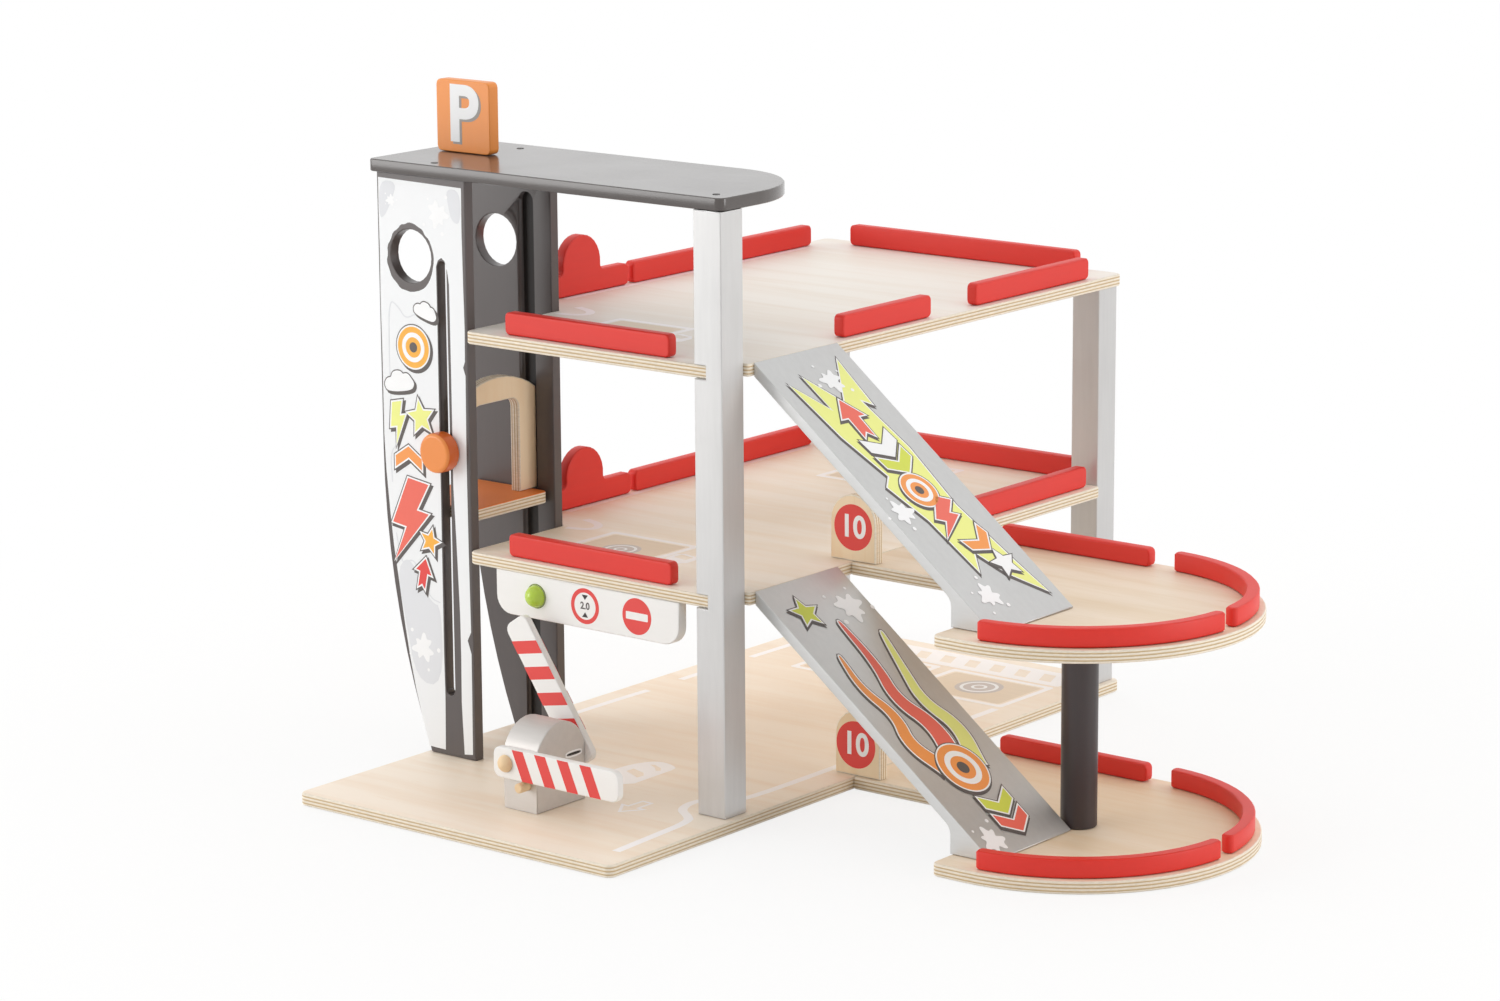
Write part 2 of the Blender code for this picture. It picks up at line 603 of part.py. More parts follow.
# A sign block stands across the seam on two pegs, one in the deck and one in the landing.
def sign_block(level, floor_z, spot, boards):
    x, y = spot
    radius = SIGN_WIDTH / 2
    foot = floor_z + PLY + GAP
    outline = [(-radius, 0), (radius, 0)] + arc((0, SIGN_HEIGHT - radius), radius, 0, math.pi)
    block = board("sign_block_" + level, [outline], PLY, BIRCH, (x, y, foot), FACING_Y)
    carriers = (("deck", -SIGN_PEG_OFFSET, boards[0]), ("landing", SIGN_PEG_OFFSET, boards[1]))
    for side, offset, carrier in carriers:
        peg = "sign_peg_%s_%s" % (level, side)
        bottom = floor_z + PLY - SIGN_PEG_SUNK
        pin(peg, SIGN_PEG_RADIUS, 2 * SIGN_PEG_SUNK, BEECH, (x + offset, y, bottom),
            steps=SIGN_PEG_STEPS)
        bore = pin("bore_" + peg, SIGN_PEG_RADIUS + GAP, 2 * (SIGN_PEG_SUNK + GAP), None,
                   (x + offset, y, bottom - GAP), steps=SIGN_PEG_STEPS, chamfer=0, cutter=True)
        cut(block, bore)
        cut(bpy.data.objects[carrier], bore)


# Ramp seen from the entrance side: butts against the deck, lies on the landing and hooks over its edge.
def build_ramp(name, top, bottom):
    start = DECK_WIDTH + GAP
    slope = (top - bottom) / (RAMP_TOE_X - start)
    heel_top = top - RAMP_DROP - slope * (RAMP_HEEL_X - start)
    corners = [(start, top, 0), (start, top - RAMP_DROP, 0), (RAMP_HEEL_X, heel_top, RAMP_HEEL_ROUND),
               (RAMP_HEEL_X, bottom, 0), (RAMP_TOE_X, bottom, RAMP_TOE_ROUND)]
    width = RAMP_Y[1] - RAMP_Y[0]
    board(name, [rounded(corners)], width, SILVER, (0, RAMP_Y[0] + width / 2, 0), FACING_Y,
          arris=RAMP_ARRIS)


# Straight rail along X or Y, given by its ends and the middle of its thickness.
def straight_rail(name, along, ends, across, floor_z, height=RAIL_HEIGHT):
    start, end = ends
    outline = box_outline(0, 0, end - start, height, RAIL_END)
    stand_rail(name, [outline], along, start, across, floor_z)


def stand_rail(name, outlines, along, start, across, floor_z):
    foot = floor_z + PLY + GAP
    if along == "X":
        board(name, outlines, PLY, RED, (start, across, foot), FACING_Y, arris=RAIL_ARRIS)
    else:
        board(name, outlines, PLY, RED, (across, start, foot), FACING_X, arris=RAIL_ARRIS)


# Rail beside the tower with a round hump, its flanks filleted into the rail's top.
def humped_rail(name, ends, hump, across, floor_z):
    start, end = ends
    length = end - start
    centre = (hump - start, HUMP_TOP - HUMP_RADIUS)
    fillet = HUMP_FILLET
    level = RAIL_HEIGHT + fillet
    reach = math.sqrt((HUMP_RADIUS + fillet) ** 2 - (centre[1] - level) ** 2)
    lean = math.atan2(level - centre[1], reach)
    outline = rounded([(length, RAIL_HEIGHT, RAIL_END), (0, RAIL_HEIGHT, RAIL_END), (0, 0, RAIL_END),
                       (length, 0, RAIL_END)])
    split = len(arc((0, 0), RAIL_END, 0, math.pi / 2))
    right_foot = arc((centre[0] + reach, level), fillet, -math.pi / 2, -math.pi + lean)
    crown = arc(centre, HUMP_RADIUS, lean, math.pi - lean)[1:-1]
    left_foot = arc((centre[0] - reach, level), fillet, -lean, -math.pi / 2)
    stand_rail(name, [outline[:split] + right_foot + crown + left_foot + outline[split:]], "Y", start, across,
               floor_z)


# Rail bent round the landing's end, from one bearing to another in degrees. A straight outline is
# drawn along the middle of the rail and each point of it is then bent on to the arc.
def curved_rail(name, bearings, floor_z):
    start, end = bearings
    middle = LANDING_RAIL_RADIUS - PLY / 2
    first = math.radians(start)
    length = middle * math.radians(end - start)
    half = PLY / 2
    steps = len(arc((0, 0), LANDING_RAIL_RADIUS, first, math.radians(end)))
    flat = box_outline(0, -half, length, half, RAIL_END)
    corner = len(flat) // 4
    along = [RAIL_END + (length - 2 * RAIL_END) * i / steps for i in range(1, steps)]
    inner = [(s, -half) for s in along]
    outer = [(s, half) for s in reversed(along)]
    straight = flat[:corner] + inner + flat[corner:3 * corner] + outer + flat[3 * corner:]
    bent = [((middle + t) * math.cos(first + s / middle), (middle + t) * math.sin(first + s / middle))
            for s, t in straight]
    foot = floor_z + PLY + GAP
    height = LANDING_RAIL_HEIGHT
    board(name, [bent], height, RED, (*LANDING_CENTRE, foot + height / 2), arris=RAIL_ARRIS)


def build_rails():
    front = DECK_FRONT + RAIL_INSET + PLY / 2
    rear = DECK_DEPTH - RAIL_REAR_INSET - PLY / 2
    left = RAIL_INSET + PLY / 2
    right = DECK_WIDTH - RAIL_RIGHT_INSET - PLY / 2
    for level, z in (("top", TOP_Z), ("middle", MIDDLE_Z)):
        straight_rail("rail_%s_front" % level, "X", FRONT_RAIL, front, z)
        humped_rail("rail_%s_humped" % level, HUMPED_RAIL, HUMP_CENTRE, left, z)
        straight_rail("rail_%s_left" % level, "Y", LEFT_RAIL, left, z)
        straight_rail("rail_%s_rear" % level, "X", REAR_RAIL, rear, z)
        straight_rail("rail_%s_right" % level, "Y", RIGHT_RAIL, right, z)
    straight_rail("rail_top_right_front", "Y", RIGHT_FRONT_RAIL, right, TOP_Z)
    landing_back = LANDING_CENTRE[1] + LANDING_RADIUS - RAIL_INSET - PLY / 2
    for level, z in (("middle", MIDDLE_Z), ("ground", GROUND_Z)):
        curved_rail("rail_%s_landing_front" % level, LANDING_FRONT_RAIL, z)
        curved_rail("rail_%s_landing_rear" % level, LANDING_REAR_RAIL, z)
        straight_rail("rail_%s_landing_back" % level, "X", LANDING_BACK_RAIL, landing_back, z,
                      LANDING_RAIL_HEIGHT)


build_boards()
build_posts()
build_tower()
build_lift()
build_toll_point()
build_signs()
build_ramp("upper_ramp", TOP_Z + PLY, MIDDLE_Z + PLY + GAP)
build_ramp("lower_ramp", MIDDLE_Z + PLY, GROUND_Z + PLY + GAP)
build_rails()
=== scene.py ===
import functools
import json
import math

import bmesh
import bpy
from mathutils import Matrix, Vector

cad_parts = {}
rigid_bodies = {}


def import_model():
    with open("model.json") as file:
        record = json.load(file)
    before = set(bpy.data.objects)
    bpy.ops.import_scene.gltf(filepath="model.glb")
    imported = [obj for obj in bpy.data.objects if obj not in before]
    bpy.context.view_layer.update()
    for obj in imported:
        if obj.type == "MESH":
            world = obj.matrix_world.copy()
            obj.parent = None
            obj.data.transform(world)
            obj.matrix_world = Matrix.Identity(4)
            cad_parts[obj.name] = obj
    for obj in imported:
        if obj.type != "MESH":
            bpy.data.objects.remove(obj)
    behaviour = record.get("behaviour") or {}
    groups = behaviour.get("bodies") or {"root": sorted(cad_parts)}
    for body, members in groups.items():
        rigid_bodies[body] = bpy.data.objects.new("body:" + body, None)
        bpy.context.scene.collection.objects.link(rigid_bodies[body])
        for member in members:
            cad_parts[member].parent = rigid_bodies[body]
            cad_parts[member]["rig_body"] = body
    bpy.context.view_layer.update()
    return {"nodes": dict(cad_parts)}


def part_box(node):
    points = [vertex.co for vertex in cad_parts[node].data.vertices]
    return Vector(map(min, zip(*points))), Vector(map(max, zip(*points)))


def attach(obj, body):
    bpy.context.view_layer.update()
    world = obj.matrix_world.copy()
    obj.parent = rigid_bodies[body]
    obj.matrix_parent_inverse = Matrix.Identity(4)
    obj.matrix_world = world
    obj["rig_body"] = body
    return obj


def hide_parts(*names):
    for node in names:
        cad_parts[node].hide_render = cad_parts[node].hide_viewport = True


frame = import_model()
nodes = frame["nodes"]
print("frame:", len(nodes), "nodes")

mm = 0.001
# Plan places are read in mm from the decks' left edge and the base board's front edge
planCorner = Vector((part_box("middle_floor")[0].x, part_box("base_board")[0].y, 0))
ply = 9.0  # thickness of every board
levels = {"ground": 0.0, "middle": 156.0, "top": 315.0, "roof": 430.0}  # underside of each board


# Camera, light and backdrop

def tone(code):  # "#rrggbb" through the sRGB curve, as linear colour with alpha
    parts = [int(code[i:i + 2], 16) / 255 for i in (1, 3, 5)]
    linear = [c / 12.92 if c <= 0.04045 else ((c + 0.055) / 1.055) ** 2.4 for c in parts]
    return (*linear, 1.0)


def addNode(tree, kind, settings=None, inputs=None):
    made = tree.nodes.new(kind)
    for key, value in (settings or {}).items():
        setattr(made, key, value)
    for key, value in (inputs or {}).items():
        if isinstance(value, bpy.types.NodeSocket):
            tree.links.new(value, made.inputs[key])
        else:
            made.inputs[key].default_value = value
    return made


def mathNode(tree, operation, a, b=0.0, clamp=False):
    made = addNode(tree, "ShaderNodeMath", {"operation": operation, "use_clamp": clamp}, {0: a, 1: b})
    return made.outputs[0]


def rangeNode(tree, value, given, wanted, smooth=False):  # one range of values brought to another
    made = addNode(tree, "ShaderNodeMapRange", {"interpolation_type": "SMOOTHSTEP" if smooth else "LINEAR"},
                   {"Value": value, "From Min": given[0], "From Max": given[1],
                    "To Min": wanted[0], "To Max": wanted[1]})
    return made.outputs["Result"]


def plainRays(tree):  # 1 for rays from the camera, off a shiny face or through glass, else 0
    rays = addNode(tree, "ShaderNodeLightPath")
    seen = mathNode(tree, "MAXIMUM", rays.outputs["Is Camera Ray"], rays.outputs["Is Glossy Ray"])
    return mathNode(tree, "MAXIMUM", seen, rays.outputs["Is Transmission Ray"])


camera = {
    "fromCorner": (2.10573, -2.13128, 0.88371),  # metres
    "azimuth": 38.608,
    "elevation": 12.608,
    "roll": -0.362,
    "lens": 105.98,
    "sensor": 36.0,
    "clip": (0.05, 50.0),
}


def buildCamera():
    azimuth, elevation, roll = (math.radians(camera[k]) for k in ("azimuth", "elevation", "roll"))
    back = Vector((math.sin(azimuth) * math.cos(elevation), -math.cos(azimuth) * math.cos(elevation),
                   math.sin(elevation)))
    level = Vector((math.cos(azimuth), math.sin(azimuth), 0))
    above = back.cross(level)
    right = level * math.cos(roll) + above * math.sin(roll)
    up = above * math.cos(roll) - level * math.sin(roll)
    turn = Matrix((right, up, back)).transposed().to_4x4()
    data = bpy.data.cameras.new("photoCamera")
    data.lens = camera["lens"]
    data.sensor_width = camera["sensor"]
    data.clip_start, data.clip_end = camera["clip"]
    view = bpy.data.objects.new("photoCamera", data)
    view.matrix_world = Matrix.Translation(planCorner + Vector(camera["fromCorner"])) @ turn
    bpy.context.scene.collection.objects.link(view)
    bpy.context.scene.camera = view


studio = {
    "aim": (0.0, 0.0, 0.18),
    # name: place, size, watts
    "lamps": {
        "keyLamp": ((-2.1, -2.1, 0.75), 1.6, 24.0),
        "rightLamp": ((2.4, 0.6, 0.6), 1.3, 16.0),
        "backLamp": ((-2.2, 1.5, 0.42), 1.4, 11.0),
    },
    "unmirrored": ("backLamp",),  # lamps that no shiny face reflects
    "skyLevel": 1.14,
    "shadeLevel": 0.31,  # sky strength on the camera's side
    "shadeTowards": (0.72, -0.69, 0.05),
    "shadeBlend": (0.1, 0.95),  # how far a direction leans that way where the shade begins and is full
    "floorSize": 6.0,
    "floorDrop": 0.0005,  # gap under the base board
    "floorTone": "#F4F3F1",
    "floorClear": 0.8,  # how much of the floor shows as plain white near the toy
    "floorFade": (0.45, 1.1),  # distances from the toy's middle between which all of it turns plain white
}


def buildStudio():
    scene = bpy.context.scene
    scene.view_settings.view_transform = "Standard"
    aim = Vector(studio["aim"])
    for name, (place, size, watts) in studio["lamps"].items():
        data = bpy.data.lights.new(name, "AREA")
        data.shape = "DISK"
        data.size = size
        data.energy = watts
        lamp = bpy.data.objects.new(name, data)
        lamp.visible_glossy = name not in studio["unmirrored"]
        turn = (Vector(place) - aim).to_track_quat("Z", "Y").to_matrix().to_4x4()
        lamp.matrix_world = Matrix.Translation(place) @ turn
        scene.collection.objects.link(lamp)

    world = bpy.data.worlds.new("studioSky")
    scene.world = world
    world.use_nodes = True
    tree = world.node_tree
    tree.nodes.clear()
    coord = addNode(tree, "ShaderNodeTexCoord")
    towards = addNode(tree, "ShaderNodeVectorMath", {"operation": "DOT_PRODUCT"},
                      {0: coord.outputs["Generated"], 1: studio["shadeTowards"]})
    around = rangeNode(tree, towards.outputs["Value"], studio["shadeBlend"],
                       (studio["skyLevel"], studio["shadeLevel"]), True)
    level = rangeNode(tree, plainRays(tree), (0.0, 1.0), (around, 1.0))
    sky = addNode(tree, "ShaderNodeBackground", None, {"Color": (1, 1, 1, 1), "Strength": level})
    out = addNode(tree, "ShaderNodeOutputWorld")
    tree.links.new(sky.outputs[0], out.inputs["Surface"])

    bm = bmesh.new()
    bmesh.ops.create_grid(bm, x_segments=8, y_segments=8, size=studio["floorSize"] / 2)
    mesh = bpy.data.meshes.new("studioFloor")
    bm.to_mesh(mesh)
    bm.free()
    floor = bpy.data.objects.new("studioFloor", mesh)
    scene.collection.objects.link(floor)
    mesh.materials.append(floorMaterial())
    mesh.transform(Matrix.Translation((0, 0, -studio["floorDrop"])))


def floorMaterial():
    mat = bpy.data.materials.new("paleFloor")
    mat.use_nodes = True
    tree = mat.node_tree
    tree.nodes.clear()
    coord = addNode(tree, "ShaderNodeTexCoord")
    reach = addNode(tree, "ShaderNodeVectorMath", {"operation": "LENGTH"}, {0: coord.outputs["Object"]})
    fade = rangeNode(tree, reach.outputs["Value"], studio["floorFade"], (studio["floorClear"], 1.0), True)
    clear = mathNode(tree, "MULTIPLY", plainRays(tree), fade)
    matt = addNode(tree, "ShaderNodeBsdfDiffuse", None, {"Color": tone(studio["floorTone"])})
    plain = addNode(tree, "ShaderNodeEmission", None, {"Color": (1, 1, 1, 1), "Strength": 1.0})
    mix = addNode(tree, "ShaderNodeMixShader", None, {0: clear, 1: matt.outputs[0], 2: plain.outputs[0]})
    out = addNode(tree, "ShaderNodeOutputMaterial")
    tree.links.new(mix.outputs[0], out.inputs["Surface"])
    return mat


buildCamera()
buildStudio()
print("camera, lamps and floor made")


# Shared surface effects

def newGroup(name, inputs, outputs):
    group = bpy.data.node_groups.new(name, "ShaderNodeTree")
    for label, kind, value in inputs:
        socket = group.interface.new_socket(label, in_out="INPUT", socket_type=kind)
        if value is not None:
            socket.default_value = value
    for label, kind in outputs:
        group.interface.new_socket(label, in_out="OUTPUT", socket_type=kind)
    return group, group.nodes.new("NodeGroupInput"), group.nodes.new("NodeGroupOutput")


def scaledVector(tree, vector, factors):
    made = addNode(tree, "ShaderNodeVectorMath", {"operation": "MULTIPLY"}, {0: vector, 1: factors})
    return made.outputs[0]


def scaledColour(tree, colour, factor):
    made = addNode(tree, "ShaderNodeVectorMath", {"operation": "SCALE"}, {0: colour, "Scale": factor})
    return made.outputs[0]


def noiseNode(tree, vector, look):
    return addNode(tree, "ShaderNodeTexNoise", None, {"Vector": vector, **look}).outputs["Fac"]


def mixColour(tree, factor, a, b):  # sockets 6 and 7 take the two colours
    return addNode(tree, "ShaderNodeMix", {"data_type": "RGBA"}, {0: factor, 6: a, 7: b}).outputs[2]


def rampNode(tree, value, stops):
    ramp = addNode(tree, "ShaderNodeValToRGB", None, {0: value})
    elements = ramp.color_ramp.elements
    while len(elements) < len(stops):
        elements.new(0.5)
    for element, (place, colour) in zip(elements, stops):
        element.position = place
        element.color = colour
    return ramp.outputs["Color"]


veneerFigure = {
    "waves": {"Scale": 9.0, "Detail": 3.0, "Roughness": 0.5, "Distortion": 1.2},
    "waveCount": 5.0,
    "waveShare": 1.1,
    "waveStart": -0.1,
    "streaks": {"Scale": 120.0, "Detail": 4.0, "Roughness": 0.6},
    "streakShare": 1.1,
    "streakHeight": 0.6,
    "flecks": {"Scale": 420.0, "Detail": 1.0, "Roughness": 0.5},
    "fleckRange": (0.66, 0.74),
    "fleckShare": 0.35,
    "fleckHeight": -0.8,
}


def veneerGroup():  # quiet birch figure: broad waves, fine streaks along the grain, a few flecks
    look = veneerFigure
    group, given, out = newGroup(
        "birchVeneer",
        [("Vector", "NodeSocketVector", None), ("Along", "NodeSocketVector", (1, 1, 1)),
         ("Pale", "NodeSocketColor", (1, 1, 1, 1)), ("Warm", "NodeSocketColor", (1, 1, 1, 1))],
        [("Color", "NodeSocketColor"), ("Height", "NodeSocketFloat")])
    stretched = scaledVector(group, given.outputs["Vector"], given.outputs["Along"])
    waves = mathNode(group, "MULTIPLY", noiseNode(group, stretched, look["waves"]), look["waveCount"])
    bands = mathNode(group, "PINGPONG", waves, 0.5)
    streaks = noiseNode(group, stretched, look["streaks"])
    flecks = noiseNode(group, stretched, look["flecks"])
    fleckMask = rangeNode(group, flecks, look["fleckRange"], (0.0, look["fleckShare"]), True)
    figure = mathNode(group, "MULTIPLY", bands, look["waveShare"])
    figure = mathNode(group, "ADD", figure, look["waveStart"])
    swing = mathNode(group, "SUBTRACT", streaks, 0.5)
    figure = mathNode(group, "ADD", figure, mathNode(group, "MULTIPLY", swing, look["streakShare"]), True)
    figure = mathNode(group, "MAXIMUM", figure, fleckMask)
    colour = mixColour(group, figure, given.outputs["Pale"], given.outputs["Warm"])
    group.links.new(colour, out.inputs["Color"])
    height = mathNode(group, "ADD", mathNode(group, "MULTIPLY", streaks, look["streakHeight"]),
                      mathNode(group, "MULTIPLY", fleckMask, look["fleckHeight"]))
    group.links.new(height, out.inputs["Height"])
    return group


plyEdge = {
    "tones": {"pale": "#F2E7D4", "thin": "#BF9F70", "brown": "#D9C09A"},
    # share of the thickness, tone: seven plies, every other one end grain behind a thin glue line
    "stops": [
        (0.0, "pale"), (0.165, "pale"), (0.185, "thin"), (0.27, "brown"), (0.30, "pale"), (0.425, "pale"),
        (0.45, "thin"), (0.545, "brown"), (0.575, "pale"), (0.70, "pale"), (0.725, "thin"), (0.81, "brown"),
        (0.835, "pale"), (1.0, "pale"),
    ],
    "drift": {"Scale": 9.0, "Detail": 2.0},
    "wander": 0.05,  # how far the layers wander, as a share of the thickness
    "fibres": {"Scale": 260.0, "Detail": 3.0, "Roughness": 0.6},
    "squash": (1.0, 1.0, 7.0),
    "fibreRange": (0.3, 0.7),
    "shadeRange": (0.86, 1.06),
}


def layersGroup():  # cut edge of plywood
    look = plyEdge
    group, given, out = newGroup(
        "plyLayers",
        [("Vector", "NodeSocketVector", None), ("Depth", "NodeSocketFloat", 0.5)],
        [("Color", "NodeSocketColor"), ("Height", "NodeSocketFloat")])
    drift = mathNode(group, "SUBTRACT", noiseNode(group, given.outputs["Vector"], look["drift"]), 0.5)
    wander = mathNode(group, "MULTIPLY", drift, look["wander"])
    depth = mathNode(group, "ADD", given.outputs["Depth"], wander)
    layers = rampNode(group, depth, [(place, tone(look["tones"][use])) for place, use in look["stops"]])
    squashed = scaledVector(group, given.outputs["Vector"], look["squash"])
    fibres = noiseNode(group, squashed, look["fibres"])
    shade = rangeNode(group, fibres, look["fibreRange"], look["shadeRange"])
    group.links.new(scaledColour(group, layers, shade), out.inputs["Color"])
    group.links.new(fibres, out.inputs["Height"])
    return group


sprayCoat = {
    "grain": {"Scale": 230.0, "Detail": 4.0, "Roughness": 0.62},
    "cloud": {"Scale": 14.0, "Detail": 3.0},
    "glossSwing": 0.16,
    "peel": {"Scale": 700.0, "Detail": 1.0},
    "peelHeight": 0.25,
}


def paintGroup():  # sprayed lacquer over wood: a little grain stays visible, with fine orange peel
    look = sprayCoat
    group, given, out = newGroup(
        "sprayedLacquer",
        [("Vector", "NodeSocketVector", None), ("Along", "NodeSocketVector", (1, 1, 1)),
         ("Colour", "NodeSocketColor", (1, 1, 1, 1)), ("Shift", "NodeSocketFloat", 0.05),
         ("Gloss", "NodeSocketFloat", 0.4)],
        [("Color", "NodeSocketColor"), ("Roughness", "NodeSocketFloat"), ("Height", "NodeSocketFloat")])
    stretched = scaledVector(group, given.outputs["Vector"], given.outputs["Along"])
    grain = noiseNode(group, stretched, look["grain"])
    peel = noiseNode(group, given.outputs["Vector"], look["peel"])
    cloud = noiseNode(group, given.outputs["Vector"], look["cloud"])
    swing = mathNode(group, "SUBTRACT", mathNode(group, "ADD", grain, cloud), 1.0)
    shade = mathNode(group, "ADD", mathNode(group, "MULTIPLY", swing, given.outputs["Shift"]), 1.0)
    group.links.new(scaledColour(group, given.outputs["Colour"], shade), out.inputs["Color"])
    spread = mathNode(group, "MULTIPLY", mathNode(group, "SUBTRACT", cloud, 0.5), look["glossSwing"])
    gloss = mathNode(group, "ADD", given.outputs["Gloss"], spread, True)
    group.links.new(gloss, out.inputs["Roughness"])
    height = mathNode(group, "ADD", grain, mathNode(group, "MULTIPLY", peel, look["peelHeight"]))
    group.links.new(height, out.inputs["Height"])
    return group


birchVeneer = veneerGroup()
plyLayers = layersGroup()
sprayedLacquer = paintGroup()
print("surface effects made")


# Finishes

grainAlong = {"X": (0.09, 1.0, 1.0), "Y": (1.0, 0.09, 1.0), "Z": (1.0, 1.0, 0.09)}


def startMaterial(name):
    mat = bpy.data.materials.new(name)
    mat.use_nodes = True
    tree = mat.node_tree
    return mat, tree, tree.nodes["Principled BSDF"], addNode(tree, "ShaderNodeTexCoord")


def bumpFrom(tree, shader, height, strength, distance):
    bump = addNode(tree, "ShaderNodeBump", None,
                   {"Height": height, "Strength": strength, "Distance": distance})
    tree.links.new(bump.outputs[0], shader.inputs["Normal"])


lacquers = {
    # name: colour, roughness, share of grain in the colour, grain direction, metallic, coat
    "graphiteSatin": ("#554D4B", 0.34, 0.12, "Z", 0.0, 0.25),
    "graphiteGroove": ("#2A2523", 0.60, 0.20, "Z", 0.0, 0.0),
    "graphiteRoof": ("#4E4744", 0.20, 0.10, "X", 0.0, 0.5),
    "graphiteColumn": ("#393132", 0.42, 0.12, "Z", 0.0, 0.1),
    "silverUpright": ("#CECDCC", 0.42, 0.13, "Z", 0.58, 0.0),
    "silverRamp": ("#CCCCCB", 0.42, 0.12, "X", 0.72, 0.0),
    "silverBlock": ("#D0CCC8", 0.48, 0.14, "X", 0.55, 0.0),
    "railRed": ("#E02B1E", 0.46, 0.10, "X", 0.0, 0.0),
    "railRedDeep": ("#E02B1E", 0.46, 0.10, "Y", 0.0, 0.0),
    "tileOrange": ("#F3933C", 0.40, 0.06, "Z", 0.0, 0.1),
    # the knob's orange is deepened as painted shade on its sides; the end that faces the front is painted
    # lighter below
    "knobOrange": ("#D96312", 0.34, 0.05, "Y", 0.0, 0.2),
    "beadGreen": ("#B3D03A", 0.24, 0.03, "Y", 0.0, 0.4),
    "armWhite": ("#F1EFEC", 0.40, 0.04, "X", 0.0, 0.1),
    "bareBeech": ("#EACCA2", 0.55, 0.22, "Y", 0.0, 0.0),
    "printWhite": ("#F5F5F5", 0.50, 0.01, "X", 0.0, 0.0),
    "printPaper": ("#EEEFF0", 0.42, 0.02, "Z", 0.0, 0.1),
    "printMist": ("#DFE0E3", 0.45, 0.01, "Z", 0.0, 0.0),
    "printFloor": ("#FFFBFA", 0.42, 0.02, "X", 0.0, 0.0),
    "printTan": ("#E8D5BC", 0.50, 0.10, "X", 0.0, 0.0),
    "printShade": ("#CDC2BC", 0.50, 0.05, "X", 0.0, 0.0),
    "printGold": ("#F6B13C", 0.45, 0.03, "X", 0.0, 0.0),
    "printRed": ("#E3403B", 0.42, 0.03, "X", 0.0, 0.1),
    "printCoral": ("#EC6A58", 0.45, 0.03, "X", 0.0, 0.0),
    "printOrange": ("#F39A4C", 0.45, 0.03, "X", 0.0, 0.0),
    "printYellow": ("#EDF08C", 0.45, 0.03, "X", 0.0, 0.0),
    "printLime": ("#D3DB4E", 0.45, 0.03, "X", 0.0, 0.0),
    # a thin olive ring round the green light: painted shadow line, not print
    "paintedShadowOlive": ("#84943C", 0.45, 0.03, "X", 0.0, 0.0),
    "printInk": ("#5A5350", 0.42, 0.05, "X", 0.0, 0.0),
    "printBlack": ("#2B2624", 0.40, 0.05, "X", 0.0, 0.0),
    "printGrey": ("#9A9490", 0.45, 0.05, "X", 0.0, 0.0),
    "screwBlack": ("#2E2A29", 0.35, 0.05, "X", 0.6, 0.0),
}
# finish: painted light, a lighter colour on the end that faces the front, and the least share of its normal
# that does
litEndTones = {"knobOrange": ("#EB8B3C", 0.5)}
lacquerSkin = {"coatRoughness": 0.2, "bump": (0.35, 0.0001)}


def lacquer(name):
    colour, roughness, shift, along, metallic, coat = lacquers[name]
    mat, tree, shader, coord = startMaterial(name)
    skin = addNode(tree, "ShaderNodeGroup", {"node_tree": sprayedLacquer},
                   {"Vector": coord.outputs["Object"], "Along": grainAlong[along], "Colour": tone(colour),
                    "Shift": shift, "Gloss": roughness})
    paint = skin.outputs["Color"]
    # painted light: the end facing the front takes a lighter colour than the sides
    if name in litEndTones:
        endTone, facingShare = litEndTones[name]
        facing = addNode(tree, "ShaderNodeNewGeometry")
        split = addNode(tree, "ShaderNodeSeparateXYZ", None, {0: facing.outputs["True Normal"]})
        ahead = mathNode(tree, "LESS_THAN", split.outputs["Y"], -facingShare)
        paint = mixColour(tree, ahead, paint, tone(endTone))
    tree.links.new(paint, shader.inputs["Base Color"])
    tree.links.new(skin.outputs["Roughness"], shader.inputs["Roughness"])
    shader.inputs["Metallic"].default_value = metallic
    shader.inputs["Coat Weight"].default_value = coat
    shader.inputs["Coat Roughness"].default_value = lacquerSkin["coatRoughness"]
    bumpFrom(tree, shader, skin.outputs["Height"], *lacquerSkin["bump"])
    return mat


plywoods = {
    # name: thickness axis, underside in m, grain, pale veneer, warm veneer, paint on the top face
    # the tones are the birch's own colour, except that the ground and middle decks, the sign blocks and the
    # arch are made paler as painted light, to make up for the shade they sit in
    "birchGround": ("Z", 0.0, "X", "#F9EBD9", "#F1D9BE", None),
    "birchMiddle": ("Z", 0.156, "X", "#FBF1E3", "#F2DFC5", None),
    "birchLandingLow": ("Z", 0.0, "X", "#F5E4CC", "#EACFA8", None),
    "birchLandingMiddle": ("Z", 0.156, "X", "#EEDCC5", "#E1C7A2", None),
    "birchTop": ("Z", 0.315, "X", "#F0E9DF", "#E7DACA", None),
    "birchPlatform": ("Z", 0.183, "X", "#FAEBD2", "#EFD5AD", "#F28538"),
    "birchSign": ("Y", None, "Z", "#F6E0BE", "#EDCDA0", None),
    "birchArch": ("X", None, "Z", "#FBE5C4", "#F2D3A8", None),
}
birchSkin = {
    "flatShare": 0.8,  # least share of a face's normal along the thickness that shows veneer
    "paintedShare": 0.5,  # least upward share of a painted face
    "roughness": 0.5,
    "coat": 0.12,
    "coatRoughness": 0.35,
    "bump": (0.4, 0.0002),
}


